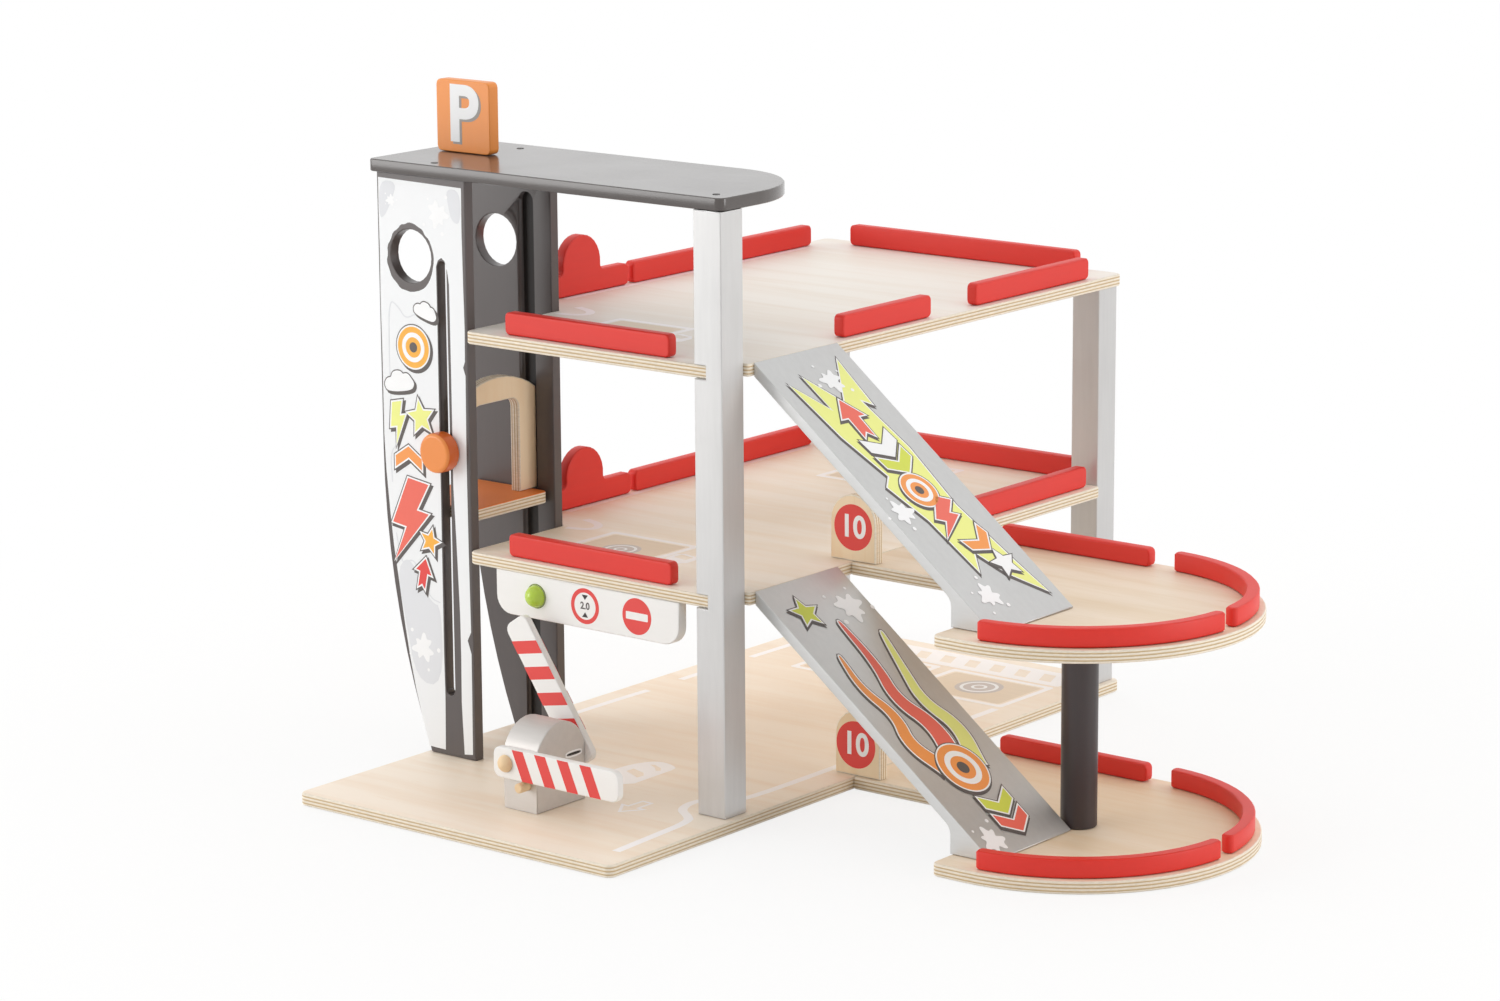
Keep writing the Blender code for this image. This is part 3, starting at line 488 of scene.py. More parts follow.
def plywood(name, start=None):
    axis, underside, grain, pale, warm, paint = plywoods[name]
    mat, tree, shader, coord = startMaterial(name)
    start = underside if start is None else start
    place = addNode(tree, "ShaderNodeSeparateXYZ", None, {0: coord.outputs["Object"]})
    depth = rangeNode(tree, place.outputs[axis], (start, start + ply * mm), (0.0, 1.0))
    facing = addNode(tree, "ShaderNodeNewGeometry")
    split = addNode(tree, "ShaderNodeSeparateXYZ", None, {0: facing.outputs["True Normal"]})
    across = mathNode(tree, "ABSOLUTE", split.outputs[axis])
    flat = mathNode(tree, "GREATER_THAN", across, birchSkin["flatShare"])
    veneer = addNode(tree, "ShaderNodeGroup", {"node_tree": birchVeneer},
                     {"Vector": coord.outputs["Object"], "Along": grainAlong[grain], "Pale": tone(pale),
                      "Warm": tone(warm)})
    edge = addNode(tree, "ShaderNodeGroup", {"node_tree": plyLayers},
                   {"Vector": coord.outputs["Object"], "Depth": depth})
    colour = mixColour(tree, flat, edge.outputs["Color"], veneer.outputs["Color"])
    if paint:
        above = mathNode(tree, "GREATER_THAN", split.outputs["Z"], birchSkin["paintedShare"])
        colour = mixColour(tree, above, colour, tone(paint))
    tree.links.new(colour, shader.inputs["Base Color"])
    shader.inputs["Roughness"].default_value = birchSkin["roughness"]
    shader.inputs["Coat Weight"].default_value = birchSkin["coat"]
    shader.inputs["Coat Roughness"].default_value = birchSkin["coatRoughness"]
    edgeHeight = mathNode(tree, "MULTIPLY", edge.outputs["Height"], mathNode(tree, "SUBTRACT", 1.0, flat))
    height = mathNode(tree, "ADD", mathNode(tree, "MULTIPLY", veneer.outputs["Height"], flat), edgeHeight)
    bumpFrom(tree, shader, height, *birchSkin["bump"])
    return mat


finish = {name: lacquer(name) for name in lacquers}
for name in plywoods:
    if plywoods[name][1] is not None:
        finish[name] = plywood(name)
finish["birchSign"] = plywood("birchSign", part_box("sign_block_ground")[0].y)
finish["birchSignMiddle"] = plywood("birchSign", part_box("sign_block_middle")[0].y)
finish["birchArch"] = plywood("birchArch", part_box("lift_arch")[0].x)
print("finishes:", len(finish))


# The wooden pieces: merged copies of the solids, shaded so that their sanded edges look round

woodwork = {
    "base_board": "birchGround", "base_landing": "birchLandingLow",
    "middle_floor": "birchMiddle", "middle_landing": "birchLandingMiddle",
    "top_floor": "birchTop", "roof_board": "graphiteRoof",
    "tower_front_panel": "graphiteSatin", "tower_rear_panel": "graphiteSatin",
    "picture_tile": "tileOrange", "front_post": "silverUpright",
    "rear_right_post": "silverUpright", "rear_left_post": "silverUpright",
    "landing_column": "graphiteColumn",
    "lift_platform": "birchPlatform", "lift_arch": "birchArch", "lift_knob": "knobOrange",
    "lift_runner": "graphiteSatin",
    "toll_block": "silverBlock", "barrier_arm_front": "armWhite", "barrier_arm_rear": "armWhite",
    "barrier_peg_front": "bareBeech", "barrier_peg_rear": "bareBeech",
    "entrance_sign": "armWhite", "entrance_light": "beadGreen",
    "sign_block_ground": "birchSign", "sign_block_middle": "birchSignMiddle",
    "upper_ramp": "silverRamp", "lower_ramp": "silverRamp",
}
railsAlongY = ("humped", "left", "right", "right_front")
softening = {"merge": 0.00001, "flatWithin": 0.5, "sharpAngle": 52.0}  # metres, degrees, degrees


def settle(name, mesh, material, body):  # a finished mesh as a piece that rides on a body
    mesh.materials.clear()
    mesh.materials.append(material)
    piece = bpy.data.objects.new(name, mesh)
    bpy.context.scene.collection.objects.link(piece)
    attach(piece, body)
    return piece


def sandedCopy(nodeName, material):
    source = nodes[nodeName]
    mesh = source.data.copy()
    bm = bmesh.new()
    bm.from_mesh(mesh)
    bmesh.ops.remove_doubles(bm, verts=bm.verts, dist=softening["merge"])
    bmesh.ops.dissolve_limit(bm, angle_limit=math.radians(softening["flatWithin"]), verts=bm.verts,
                             edges=bm.edges)
    bm.to_mesh(mesh)
    bm.free()
    mesh.shade_smooth()
    mesh.set_sharp_from_angle(angle=math.radians(softening["sharpAngle"]))
    piece = settle("wood_" + nodeName, mesh, material, source["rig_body"])
    even = piece.modifiers.new("evenNormals", "WEIGHTED_NORMAL")
    even.mode = "FACE_AREA"
    even.keep_sharp = True
    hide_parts(nodeName)


for nodeName in nodes:
    if nodeName.startswith("rail_"):
        alongY = nodeName.split("_", 2)[2] in railsAlongY
        woodwork[nodeName] = "railRedDeep" if alongY else "railRed"
for nodeName, finishName in woodwork.items():
    sandedCopy(nodeName, finish[finishName])
for nodeName in nodes:
    if nodeName not in woodwork:
        shown = nodes[nodeName].data
        shown.materials.clear()
        shown.materials.append(finish["bareBeech"])
print("wooden pieces:", len(woodwork))


# Printed shapes: thin closed sheets in millimetres on a face

def facing(origin, right, up, outward=None):  # face coordinates in mm, placed in the plan
    right, up = Vector(right), Vector(up)
    out = Vector(outward) if outward else right.cross(up)
    turn = Matrix((right * mm, up * mm, out.normalized() * mm)).transposed().to_4x4()
    return Matrix.Translation(planCorner + Vector(origin) * mm) @ turn


def ontoFloor(level):
    return facing((0, 0, levels[level] + ply), (1, 0, 0), (0, 1, 0))


def ontoFront(y):  # a face towards the entrance
    return facing((0, y, 0), (1, 0, 0), (0, 0, 1))


printing = {
    "lift": 0.03,
    "thickness": 0.03,
    "gap": 0.01,  # air between two layers
    "merge": 0.001,
    "boldness": 0.028,  # how much a letter is thickened, as a share of its size
}


def printShape(name, outlines, face, finishName, body="garage", layer=0):
    curve = bpy.data.curves.new(name, "CURVE")
    curve.dimensions = "2D"
    curve.fill_mode = "BOTH"
    curve.extrude = printing["thickness"] / 2
    for outline in outlines:
        spline = curve.splines.new("POLY")
        spline.points.add(len(outline) - 1)
        for point, (u, v) in zip(spline.points, outline):
            point.co = (u, v, 0, 1)
        spline.use_cyclic_u = True
    source = bpy.data.objects.new(name, curve)
    printFrom(source, name, face, finishName, body, layer)


def printFrom(source, name, face, finishName, body, layer):
    # a flat curve or text becomes a mesh on its face
    bpy.context.scene.collection.objects.link(source)
    graph = bpy.context.evaluated_depsgraph_get()
    mesh = bpy.data.meshes.new_from_object(source.evaluated_get(graph))
    bpy.data.objects.remove(source, do_unlink=True)
    step = printing["thickness"] + printing["gap"]
    height = printing["lift"] + layer * step + printing["thickness"] / 2
    bm = bmesh.new()
    bm.from_mesh(mesh)
    bmesh.ops.remove_doubles(bm, verts=bm.verts, dist=printing["merge"])
    bmesh.ops.translate(bm, verts=bm.verts, vec=(0, 0, height))
    bmesh.ops.transform(bm, matrix=face, verts=bm.verts)
    bmesh.ops.recalc_face_normals(bm, faces=bm.faces)
    bm.to_mesh(mesh)
    bm.free()
    mesh.name = name
    settle(name, mesh, finish[finishName], body)


def printNumber(name, words, size, centre, face, finishName, layer=0):
    text = bpy.data.curves.new(name, "FONT")
    text.body = words
    text.size = size
    text.align_x = "CENTER"
    text.align_y = "CENTER"
    text.offset = size * printing["boldness"]
    text.extrude = printing["thickness"] / 2
    source = bpy.data.objects.new(name, text)
    placed = face @ Matrix.Translation((*centre, 0))
    printFrom(source, name, placed, finishName, "garage", layer)


def circle(x, y, radius, steps=48):
    angles = [2 * math.pi * i / steps for i in range(steps)]
    return [(x + radius * math.cos(angle), y + radius * math.sin(angle)) for angle in angles]


def quarterPoints(a, b):  # two points on a line, a quarter of its length from each end
    return [(a[0] * (1 - share) + b[0] * share, a[1] * (1 - share) + b[1] * share)
            for share in (0.25, 0.75)]


def rounded(points, rounds):  # closed outline with its corners cut away again and again
    for _ in range(rounds):
        points = [spot for a, b in zip(points, points[1:] + points[:1]) for spot in quarterPoints(a, b)]
    return points


def eased(path, rounds):  # the same for an open line, whose ends stay
    for _ in range(rounds):
        cut = [spot for a, b in zip(path, path[1:]) for spot in quarterPoints(a, b)]
        path = [path[0]] + cut + [path[-1]]
    return path


leastMitre = 0.45  # keeps sharp corners of a grown outline from running out too far


def grown(points, amount):  # the same closed outline, moved outwards
    area = sum(a[0] * b[1] - b[0] * a[1] for a, b in zip(points, points[1:] + points[:1]))
    side = 1 if area > 0 else -1
    moved = []
    for i, here in enumerate(points):
        before, after = Vector(points[i - 1]), Vector(points[(i + 1) % len(points)])
        ahead = (after - Vector(here)).normalized()
        behind = (Vector(here) - before).normalized()
        outward = Vector((ahead.y + behind.y, -(ahead.x + behind.x))) * side
        if outward.length < 1e-6:
            outward = Vector((ahead.y, -ahead.x)) * side
        outward.normalize()
        spread = max(leastMitre, outward.dot(Vector((ahead.y, -ahead.x)) * side))
        moved.append((here[0] + outward.x * amount / spread, here[1] + outward.y * amount / spread))
    return moved


def shifted(points, dx, dy):
    return [(x + dx, y + dy) for x, y in points]


def turned(points, angle, centre=(0, 0), scale=1.0):
    c, s = math.cos(math.radians(angle)) * scale, math.sin(math.radians(angle)) * scale
    return [(centre[0] + x * c - y * s, centre[1] + x * s + y * c) for x, y in points]


def band(path, width):  # an open line with one width, or one for each point, as a closed outline
    left, right = [], []
    widths = width if isinstance(width, list) else [width] * len(path)
    for i, here in enumerate(path):
        ahead = Vector(path[min(i + 1, len(path) - 1)]) - Vector(path[max(i - 1, 0)])
        across = Vector((-ahead.y, ahead.x)).normalized() * widths[i] / 2
        left.append((here[0] + across.x, here[1] + across.y))
        right.append((here[0] - across.x, here[1] - across.y))
    return left + right[::-1]


lickTaper = {"tip": 0.03, "bulge": 0.8}


def lick(path, width):  # a curling streak, full where it starts and running out to a point
    path = eased(path, 3)
    last = len(path) - 1
    tip, bulge = lickTaper["tip"], lickTaper["bulge"]
    return band(path, [width * (tip + (1 - tip) * (1 - i / last) ** bulge) for i in range(last + 1)])


def star(outer, inner, points=5):
    spots = []
    for i in range(2 * points):
        radius = outer if i % 2 == 0 else inner
        angle = math.pi / 2 + math.pi * i / points
        spots.append((radius * math.cos(angle), radius * math.sin(angle)))
    return spots


blot = {
    "arms": 7,
    "core": 0.78,
    "armLength": 0.22,
    "lopsided": (3, 2.1, 0.14),  # lobes, turn of them for each seed, size
    # turn, reach, size of the drops round it
    "drops": [(0.4, 1.45, 0.13), (1.7, 1.3, 0.09), (3.1, 1.5, 0.11), (4.4, 1.35, 0.15)],
}


def splash(x, y, radius, seed):  # round blot with short uneven arms
    lobes, lobeTurn, lobeSize = blot["lopsided"]
    steps = blot["arms"] * 4
    spots = []
    for i in range(steps):
        angle = 2 * math.pi * i / steps
        swing = blot["core"] + blot["armLength"] * math.cos(blot["arms"] * angle + seed)
        swing += lobeSize * math.sin(lobes * angle + lobeTurn * seed)
        spots.append((x + radius * swing * math.cos(angle), y + radius * swing * math.sin(angle)))
    return rounded(spots, 2)


def plate(x, y, halfWidth, halfHeight, radius, steps=6):  # rectangle with round corners
    spots = []
    for cx, cy, start in ((1, -1, -90), (1, 1, 0), (-1, 1, 90), (-1, -1, 180)):
        for i in range(steps + 1):
            angle = math.radians(start + 90 * i / steps)
            spots.append((x + cx * (halfWidth - radius) + radius * math.cos(angle),
                          y + cy * (halfHeight - radius) + radius * math.sin(angle)))
    return spots


stickerStyle = {"rim": 1.2, "ink": 0.8, "drop": (1.8, -1.7), "sheets": 4}


def sticker(name, outline, colour, face, layer):
    # a motif with a white rim, a thin ink line and a dark offset shadow under it
    rim, ink = stickerStyle["rim"], stickerStyle["rim"] + stickerStyle["ink"]
    sheets = (("shade", shifted(grown(outline, ink), *stickerStyle["drop"]), "printInk"),
              ("ink", grown(outline, ink), "printInk"), ("rim", grown(outline, rim), "printWhite"),
              ("face", outline, colour))
    for step, (use, shape, finishName) in enumerate(sheets):
        printShape("%s_%s" % (name, use), [shape], face, finishName, layer=layer + step)


# Motifs, each drawn about its own middle; a scale of 1 is about 20 mm

motifs = {
    "chevron": [(-6, 11), (1, 11), (8, 0), (1, -11), (-6, -11), (1, 0)],
    "arrow": [(-14, 4.2), (1, 4.2), (1, 9.5), (14, 0), (1, -9.5), (1, -4.2), (-14, -4.2), (-10, 0)],
    "bolt": [(-3, 17), (8, 17), (3, 5), (9.5, 5), (-6, -18), (-1.5, -3), (-9, -3)],
    "star": star(12, 5.4),
    "disc": circle(0, 0, 10.5, 40),
    "cloud": rounded([(-16, -6), (-19, 0), (-15, 5), (-9, 5), (-6, 11), (3, 11), (6, 7), (12, 8), (16, 3),
                      (19, -2), (14, -7)], 2),
}
wheelRings = (("ring", (7.6, 5.2), "printWhite"), ("hub", (2.6,), "printInk"))  # drawn on each disc


def printMotif(name, motif, face, layer):
    kind, centre, angle, scale, colour = motif
    sticker(name, turned(motifs[kind], angle, centre, scale), colour, face, layer)
    if kind == "disc":
        for use, radii, finishName in wheelRings:
            rings = [circle(*centre, radius * scale, steps=32) for radius in radii]
            printShape("%s_%s" % (name, use), rings, face, finishName, layer=layer + stickerStyle["sheets"])


def printSplash(name, place, face, layer):
    x, y, radius, seed = place
    printShape(name, [splash(x, y, radius, seed)], face, "printWhite", layer=layer)
    drops = [circle(x + radius * reach * math.cos(seed + turn), y + radius * reach * math.sin(seed + turn),
                    radius * size, steps=16) for turn, reach, size in blot["drops"]]
    printShape(name + "_drops", drops, face, "printWhite", layer=layer)


# Tower front: a pale printed sheet with a ragged ring round the window, and printed motifs

towerSheet = {
    "face": 133.5,
    "outline": [
        (-38.6, 425.6), (40.6, 424.4), (40.3, 394.0), (40.8, 356.0), (41.4, 324.0), (41.0, 301.0),
        (39.2, 296.6), (41.3, 291.0), (40.8, 246.0), (40.7, 212.0), (41.0, 158.0), (41.6, 104.5),
        (38.2, 98.0), (41.6, 88.5), (41.4, 53.0), (41.0, 13.5), (33.0, 12.5), (31.2, 51.0), (31.6, 84.0),
        (31.4, 116.0), (29.3, 170.0), (27.4, 210.0), (27.6, 252.0), (27.6, 303.5), (27.4, 354.6),
        (25.9, 364.0), (23.6, 371.0), (20.4, 373.2), (17.2, 371.0), (15.4, 366.5), (15.5, 330.0),
        (15.2, 250.5), (15.4, 222.0), (15.2, 154.4), (15.0, 86.0), (15.4, 53.2), (15.0, 30.0), (14.6, 13.0),
        (-1.0, 13.4), (-6.4, 30.0), (-13.3, 55.0), (-18.0, 76.0), (-22.6, 101.0), (-27.4, 132.0),
        (-31.6, 158.0), (-34.6, 184.0), (-37.4, 214.0), (-38.6, 240.0), (-38.5, 296.0), (-38.9, 340.0),
        (-38.5, 373.5), (-38.8, 400.0),
    ],
    # cut out round the window
    "ring": [
        (-10.4, 395.8), (-5.0, 395.2), (-0.6, 393.0), (3.2, 391.5), (5.2, 387.6), (9.0, 385.4),
        (12.0, 379.0), (13.6, 373.0), (12.9, 366.4), (10.4, 358.0), (6.4, 352.0), (1.4, 348.2),
        (-8.5, 345.6), (-14.4, 346.6), (-19.4, 347.4), (-22.6, 351.0), (-27.4, 354.6), (-29.6, 360.0),
        (-32.2, 366.0), (-30.6, 371.0), (-31.2, 377.0), (-27.4, 382.0), (-25.6, 387.2), (-20.4, 390.2),
        (-17.8, 393.6), (-13.4, 394.0),
    ],
}
towerGroove = {"floor": 229.0, "outline": plate(20.4, 209.4, 7.1, 200.0, 6.9)}  # in the rear panel

towerArt = {
    # x, z, radius, seed
    "splashes": [(18.0, 404.0, 10.5, 0.6), (-27.0, 410.0, 4.5, 2.0), (-5.0, 86.0, 11.0, 1.9)],
    "mist": [[(-38.0, 424.0), (-20.0, 423.6), (-27.0, 408.0), (-33.0, 398.0), (-38.2, 396.0)],
             [(26.0, 423.0), (39.8, 422.6), (39.6, 398.0), (31.0, 400.0), (28.0, 411.0)],
             [(-29.0, 139.0), (-20.5, 151.0), (-12.0, 146.0), (-4.0, 132.0), (4.0, 121.0), (13.6, 119.0),
              (13.6, 60.0), (-12.2, 60.0), (-21.6, 103.0)]],
    "lineWidth": 0.9,
    "lines": [[(-31.0, 262.0), (-32.0, 300.0), (-31.0, 339.0), (-22.0, 334.0), (-15.0, 325.5),
               (-4.0, 331.5), (6.0, 327.0), (13.0, 333.0)],
              [(-31.5, 205.0), (-33.0, 226.0), (-26.0, 234.0)],
              [(-29.0, 168.0), (-24.0, 143.5), (-13.0, 152.0), (-5.0, 138.0), (3.0, 124.0), (12.5, 122.0)]],
    # kind, place, turn, scale, finish
    "motifs": [
        ("cloud", (-22.5, 278.5), 10, 0.72, "printWhite"),
        ("cloud", (4.0, 332.5), -14, 0.54, "printWhite"),
        ("disc", (-8.0, 306.0), 0, 1.42, "printGold"),
        ("bolt", (-24.5, 250.0), 12, 0.86, "printYellow"),
        ("star", (-2.5, 256.0), 10, 1.05, "printYellow"),
        ("chevron", (-15.0, 224.0), 90, 1.15, "printOrange"),
        ("bolt", (-15.0, 179.0), -8, 1.80, "printCoral"),
        ("star", (4.0, 166.0), -14, 0.78, "printGold"),
        ("arrow", (-3.0, 141.5), 78, 0.80, "printRed"),
    ],
}


def buildTowerSheet():
    face = ontoFront(towerSheet["face"])
    ring = rounded(towerSheet["ring"], 1)
    printShape("towerSheet", [towerSheet["outline"], ring], face, "printPaper")
    for index, patch in enumerate(towerArt["mist"]):
        printShape("towerMist_%d" % index, [rounded(patch, 2)], face, "printMist", layer=1)
    for index, line in enumerate(towerArt["lines"]):
        streak = band(eased(line, 3), towerArt["lineWidth"])
        printShape("towerLine_%d" % index, [streak], face, "printMist", layer=2)
    for index, place in enumerate(towerArt["splashes"]):
        printSplash("towerSplash_%d" % index, place, face, 2)
    for index, motif in enumerate(towerArt["motifs"]):
        printMotif("towerMotif_%d" % index, motif, face, 3)
    # a darker, rougher graphite sheet on the groove's floor
    printShape("grooveFloorSheet", [towerGroove["outline"]], ontoFront(towerGroove["floor"]), "graphiteGroove")


buildTowerSheet()
print("tower sheet printed")


# Ramps: artwork read down the slope, u from the top edge and v from the entrance side

rampFaces = {
    # name: x and z of the sloping face's top edge and of its toe
    "upperRamp": ((281.3, 324.0), (481.5, 165.3)),
    "lowerRamp": ((281.3, 165.0), (481.5, 9.3)),
}
rampNear = 158.5  # their edge on the entrance side
rampArt = {
    "upperRamp": {
        "flash": [
            (14, 78), (56, 74), (50, 66), (98, 72), (152, 68), (206, 76), (236, 82), (214, 60), (190, 47),
            (206, 36), (158, 32), (124, 21), (116, 31), (76, 20), (26, 14), (54, 33), (22, 32), (50, 50),
        ],
        "splashes": [(30, 56, 11, 0.4), (146, 15, 11, 1.7), (226, 26, 11, 2.6)],
        "motifs": [
            ("arrow", (64, 46), 178, 1.25, "printCoral"), ("chevron", (90, 50), 8, 1.40, "printWhite"),
            ("chevron", (106, 51), 8, 1.40, "printLime"), ("disc", (133, 47), 0, 1.40, "printOrange"),
            ("bolt", (160, 50), 62, 1.15, "printCoral"), ("chevron", (183, 60), 20, 1.25, "printOrange"),
            ("star", (206, 66), 20, 0.90, "printWhite"),
        ],
    },
    "lowerRamp": {
        "licks": [
            ([(180, 62), (150, 75), (122, 62), (94, 70), (60, 80)], 16, "printYellow"),
            ([(176, 30), (150, 17), (126, 28), (98, 18), (68, 24)], 15, "printOrange"),
            ([(172, 46), (142, 54), (114, 40), (84, 50), (42, 50)], 19, "printCoral"),
        ],
        "splashes": [(34, 72, 14, 0.9), (238, 17, 12, 2.2)],
        "motifs": [
            ("disc", (180, 46), 0, 1.95, "printOrange"), ("star", (28, 28), 12, 1.05, "printLime"),
            ("chevron", (213, 50), 0, 1.35, "printLime"), ("chevron", (229, 50), 0, 1.35, "printCoral"),
        ],
    },
}


def buildRampArt():
    for ramp, ((topX, topZ), (toeX, toeZ)) in rampFaces.items():
        slope = Vector((toeX - topX, 0, toeZ - topZ)).normalized()
        face = facing((topX, rampNear, topZ), slope, (0, 1, 0))
        art = rampArt[ramp]
        if "flash" in art:
            sticker(ramp + "_flash", art["flash"], "printYellow", face, 0)
        for index, (path, width, colour) in enumerate(art.get("licks", [])):
            sticker("%s_lick_%d" % (ramp, index), lick(path, width), colour, face, 0)
        for index, place in enumerate(art["splashes"]):
            printSplash("%s_splash_%d" % (ramp, index), place, face, stickerStyle["sheets"])
        for index, motif in enumerate(art["motifs"]):
            printMotif("%s_motif_%d" % (ramp, index), motif, face, stickerStyle["sheets"] + 1)


buildRampArt()
print("ramps printed")


# Floor markings: pale lanes, parking bays with a wheel in each, a hatched band and an arrow

floorMarks = {
    "ground": {
        # path, width
        "lines": [
            ([(264.6, 28.0), (262.0, 70.0), (259.6, 112.0), (250.0, 121.5), (239.6, 128.0), (234.0, 138.0),
              (232.6, 150.0), (237.0, 162.0), (250.0, 168.0), (257.6, 180.0), (257.6, 300.0),
              (257.6, 476.0)], 6.6),
            ([(14.4, 250.0), (14.6, 330.0), (16.0, 360.0)], 6.0),
            ([(15.5, 400.0), (15.5, 468.0)], 6.0),
            ([(16.0, 486.0), (17.0, 560.0)], 6.0),
        ],
        "bays": [(166.0, 484.0, 256.0, 550.0), (60.0, 484.0, 150.0, 550.0)],
        "wheels": [(211.0, 520.0, 15.0), (105.0, 520.0, 15.0)],
        "hatched": (60.0, 556.0, 258.6, 591.0),
        "tongues": [[(137.4, 152.0), (135.6, 180.0), (136.8, 195.0), (143.0, 209.6), (149.6, 214.0),
                     (158.0, 213.4), (166.5, 209.8), (170.0, 205.1), (170.0, 189.2), (170.4, 150.0)]],
        "cuts": [[(145.5, 180.4), (145.4, 188.6), (158.0, 184.4), (163.0, 178.6), (162.0, 172.4),
                  (154.0, 176.4)],
                 [(148.4, 203.4), (151.6, 205.0), (160.5, 200.9), (164.4, 195.8), (161.6, 193.8),
                  (156.0, 199.4)]],
        "arrows": [(207.0, 115.0, -92)],
    },
    "middle": {
        "lines": [
            ([(16.0, 270.0), (16.0, 560.0)], 6.0),
            ([(44.0, 257.5), (60.0, 253.0), (69.0, 243.0), (66.0, 233.0), (50.0, 229.0)], 6.4),
        ],
        "bays": [(88.5, 150.0, 164.5, 238.0), (88.5, 480.0, 164.5, 560.0)],
        "wheels": [(126.0, 200.0, 12.0), (126.0, 522.0, 12.0)],
        "tongues": [[(167.0, 218.0), (190.0, 212.0), (191.0, 190.0), (168.5, 194.0)]],
        "cuts": [[(171.0, 213.5), (184.0, 211.0), (184.0, 202.0), (171.5, 204.5)]],
    },
    "top": {
        "lines": [
            ([(16.0, 270.0), (16.0, 560.0)], 6.0),
            ([(46.0, 250.0), (64.0, 244.0), (72.0, 233.0), (64.0, 224.0), (50.0, 222.0)], 6.4),
        ],
        "bays": [(102.0, 150.0, 168.0, 232.0)],
        "wheels": [(135.0, 192.0, 12.0)],
        "tongues": [[(169.5, 213.5), (191.4, 208.0), (193.0, 184.0), (171.0, 188.0)]],
        "cuts": [[(173.0, 209.0), (186.0, 206.0), (186.0, 197.0), (173.5, 200.0)]],
    },
}
bayStyle = {
    "line": 5.0,
    "lineCorner": 3.0,
    "groundCorner": 2.0,
    # radii as shares of the wheel's own
    "patch": 1.25,
    "rim": 0.82,
    "hub": (0.42, 0.26),
}
laneArrow = {
    "outline": [(-15.6, 5.2), (-0.8, 5.6), (-0.8, 12.0), (16.4, 0), (-0.8, -12.0), (-0.8, -5.6),
                (-15.6, -5.2)],
    "line": 2.3,
}
hatching = {"step": 23.6, "first": 12.0, "half": 5.4, "lean": 7.0, "edge": 8.5, "corner": 3.0}


def printMark(level, face, use, outlines, finishName, layer=0):
    printShape("%sMark_%s" % (level, use), outlines, face, finishName, layer=layer)


def markHatching(mark, x0, y0, x1, y1):  # a pale band with slanted gaps
    low, high = y0 + hatching["edge"], y1 - hatching["edge"]
    half, lean = hatching["half"], hatching["lean"] / 2
    outlines = [plate((x0 + x1) / 2, (y0 + y1) / 2, (x1 - x0) / 2, (y1 - y0) / 2, hatching["corner"])]
    x = x0 + hatching["first"]
    while x + half + lean < x1:
        outlines.append([(x + lean - half, low), (x + lean + half, low), (x - lean + half, high),
                         (x - lean - half, high)])
        x += hatching["step"]
    mark("hatched", outlines, "printFloor")


def buildFloorMarks():
    for level, marks in floorMarks.items():
        mark = functools.partial(printMark, level, ontoFloor(level))
        for index, (path, width) in enumerate(marks["lines"]):
            mark("line_%d" % index, [band(eased(path, 2), width)], "printFloor")
        for index, (x0, y0, x1, y1) in enumerate(marks["bays"]):
            x, y, halfX, halfY = (x0 + x1) / 2, (y0 + y1) / 2, (x1 - x0) / 2, (y1 - y0) / 2
            line = bayStyle["line"]
            rings = [plate(x, y, halfX + grow, halfY + grow, bayStyle["lineCorner"])
                     for grow in (line / 2, -line / 2)]
            mark("bay_%d" % index, rings, "printFloor")
            ground = plate(x, y, halfX - line, halfY - line, bayStyle["groundCorner"])
            mark("ground_%d" % index, [ground], "printTan")
        for index, (x, y, radius) in enumerate(marks["wheels"]):
            mark("mist_%d" % index, [circle(x, y, radius * bayStyle["patch"])], "printShade", 1)
            rim = [circle(x, y, radius), circle(x, y, radius * bayStyle["rim"])]
            hub = [circle(x, y, radius * share) for share in bayStyle["hub"]]
            mark("wheel_%d" % index, rim, "printWhite", 2)
            mark("hub_%d" % index, hub, "printWhite", 2)
        if "hatched" in marks:
            markHatching(mark, *marks["hatched"])
        for index, tongue in enumerate(marks["tongues"]):
            mark("tongue_%d" % index, [rounded(tongue, 1)] + marks["cuts"], "printFloor")
        for index, (x, y, angle) in enumerate(marks.get("arrows", [])):
            outline = turned(laneArrow["outline"], angle, (x, y))
            mark("arrow_%d" % index, [outline, grown(outline, -laneArrow["line"])], "printFloor")


buildFloorMarks()
print("floors marked")


# Toll arms and signs

armStripes = {
    "starts": [5.6, 26.0, 46.4, 66.8],
    "width": 10.0,
    "slant": 9.2,
    "half": 10.6,
    "rearShift": 3.4,
    "rearTilt": 56,
    # side: pivot's x and z, y of the near and the far face
    "arms": {"front": (144.1, 43.4, 53.7, 59.7), "rear": (158.9, 43.4, 111.3, 117.3)},
}


def buildArmStripes():
    width, slant, half = armStripes["width"], armStripes["slant"], armStripes["half"]
    tilt = math.radians(armStripes["rearTilt"])
    axes = {
        "front": ((1, 0, 0), (0, 0, 1)),
        "rear": ((-math.cos(tilt), 0, math.sin(tilt)), (math.sin(tilt), 0, math.cos(tilt))),
    }
    for side, (x, z, near, far) in armStripes["arms"].items():
        shift = armStripes["rearShift"] if side == "rear" else 0.0
        starts = [start + shift for start in armStripes["starts"]]
        stripes = [[(u, half), (u + width, half), (u + width + slant, -half), (u + slant, -half)]
                   for u in starts]
        for use, y, outward in (("near", near, (0, -1, 0)), ("far", far, (0, 1, 0))):
            face = facing((x, y, z), *axes[side], outward)
            printShape("armStripes_%s_%s" % (side, use), stripes, face, "printRed", "barrier_" + side)


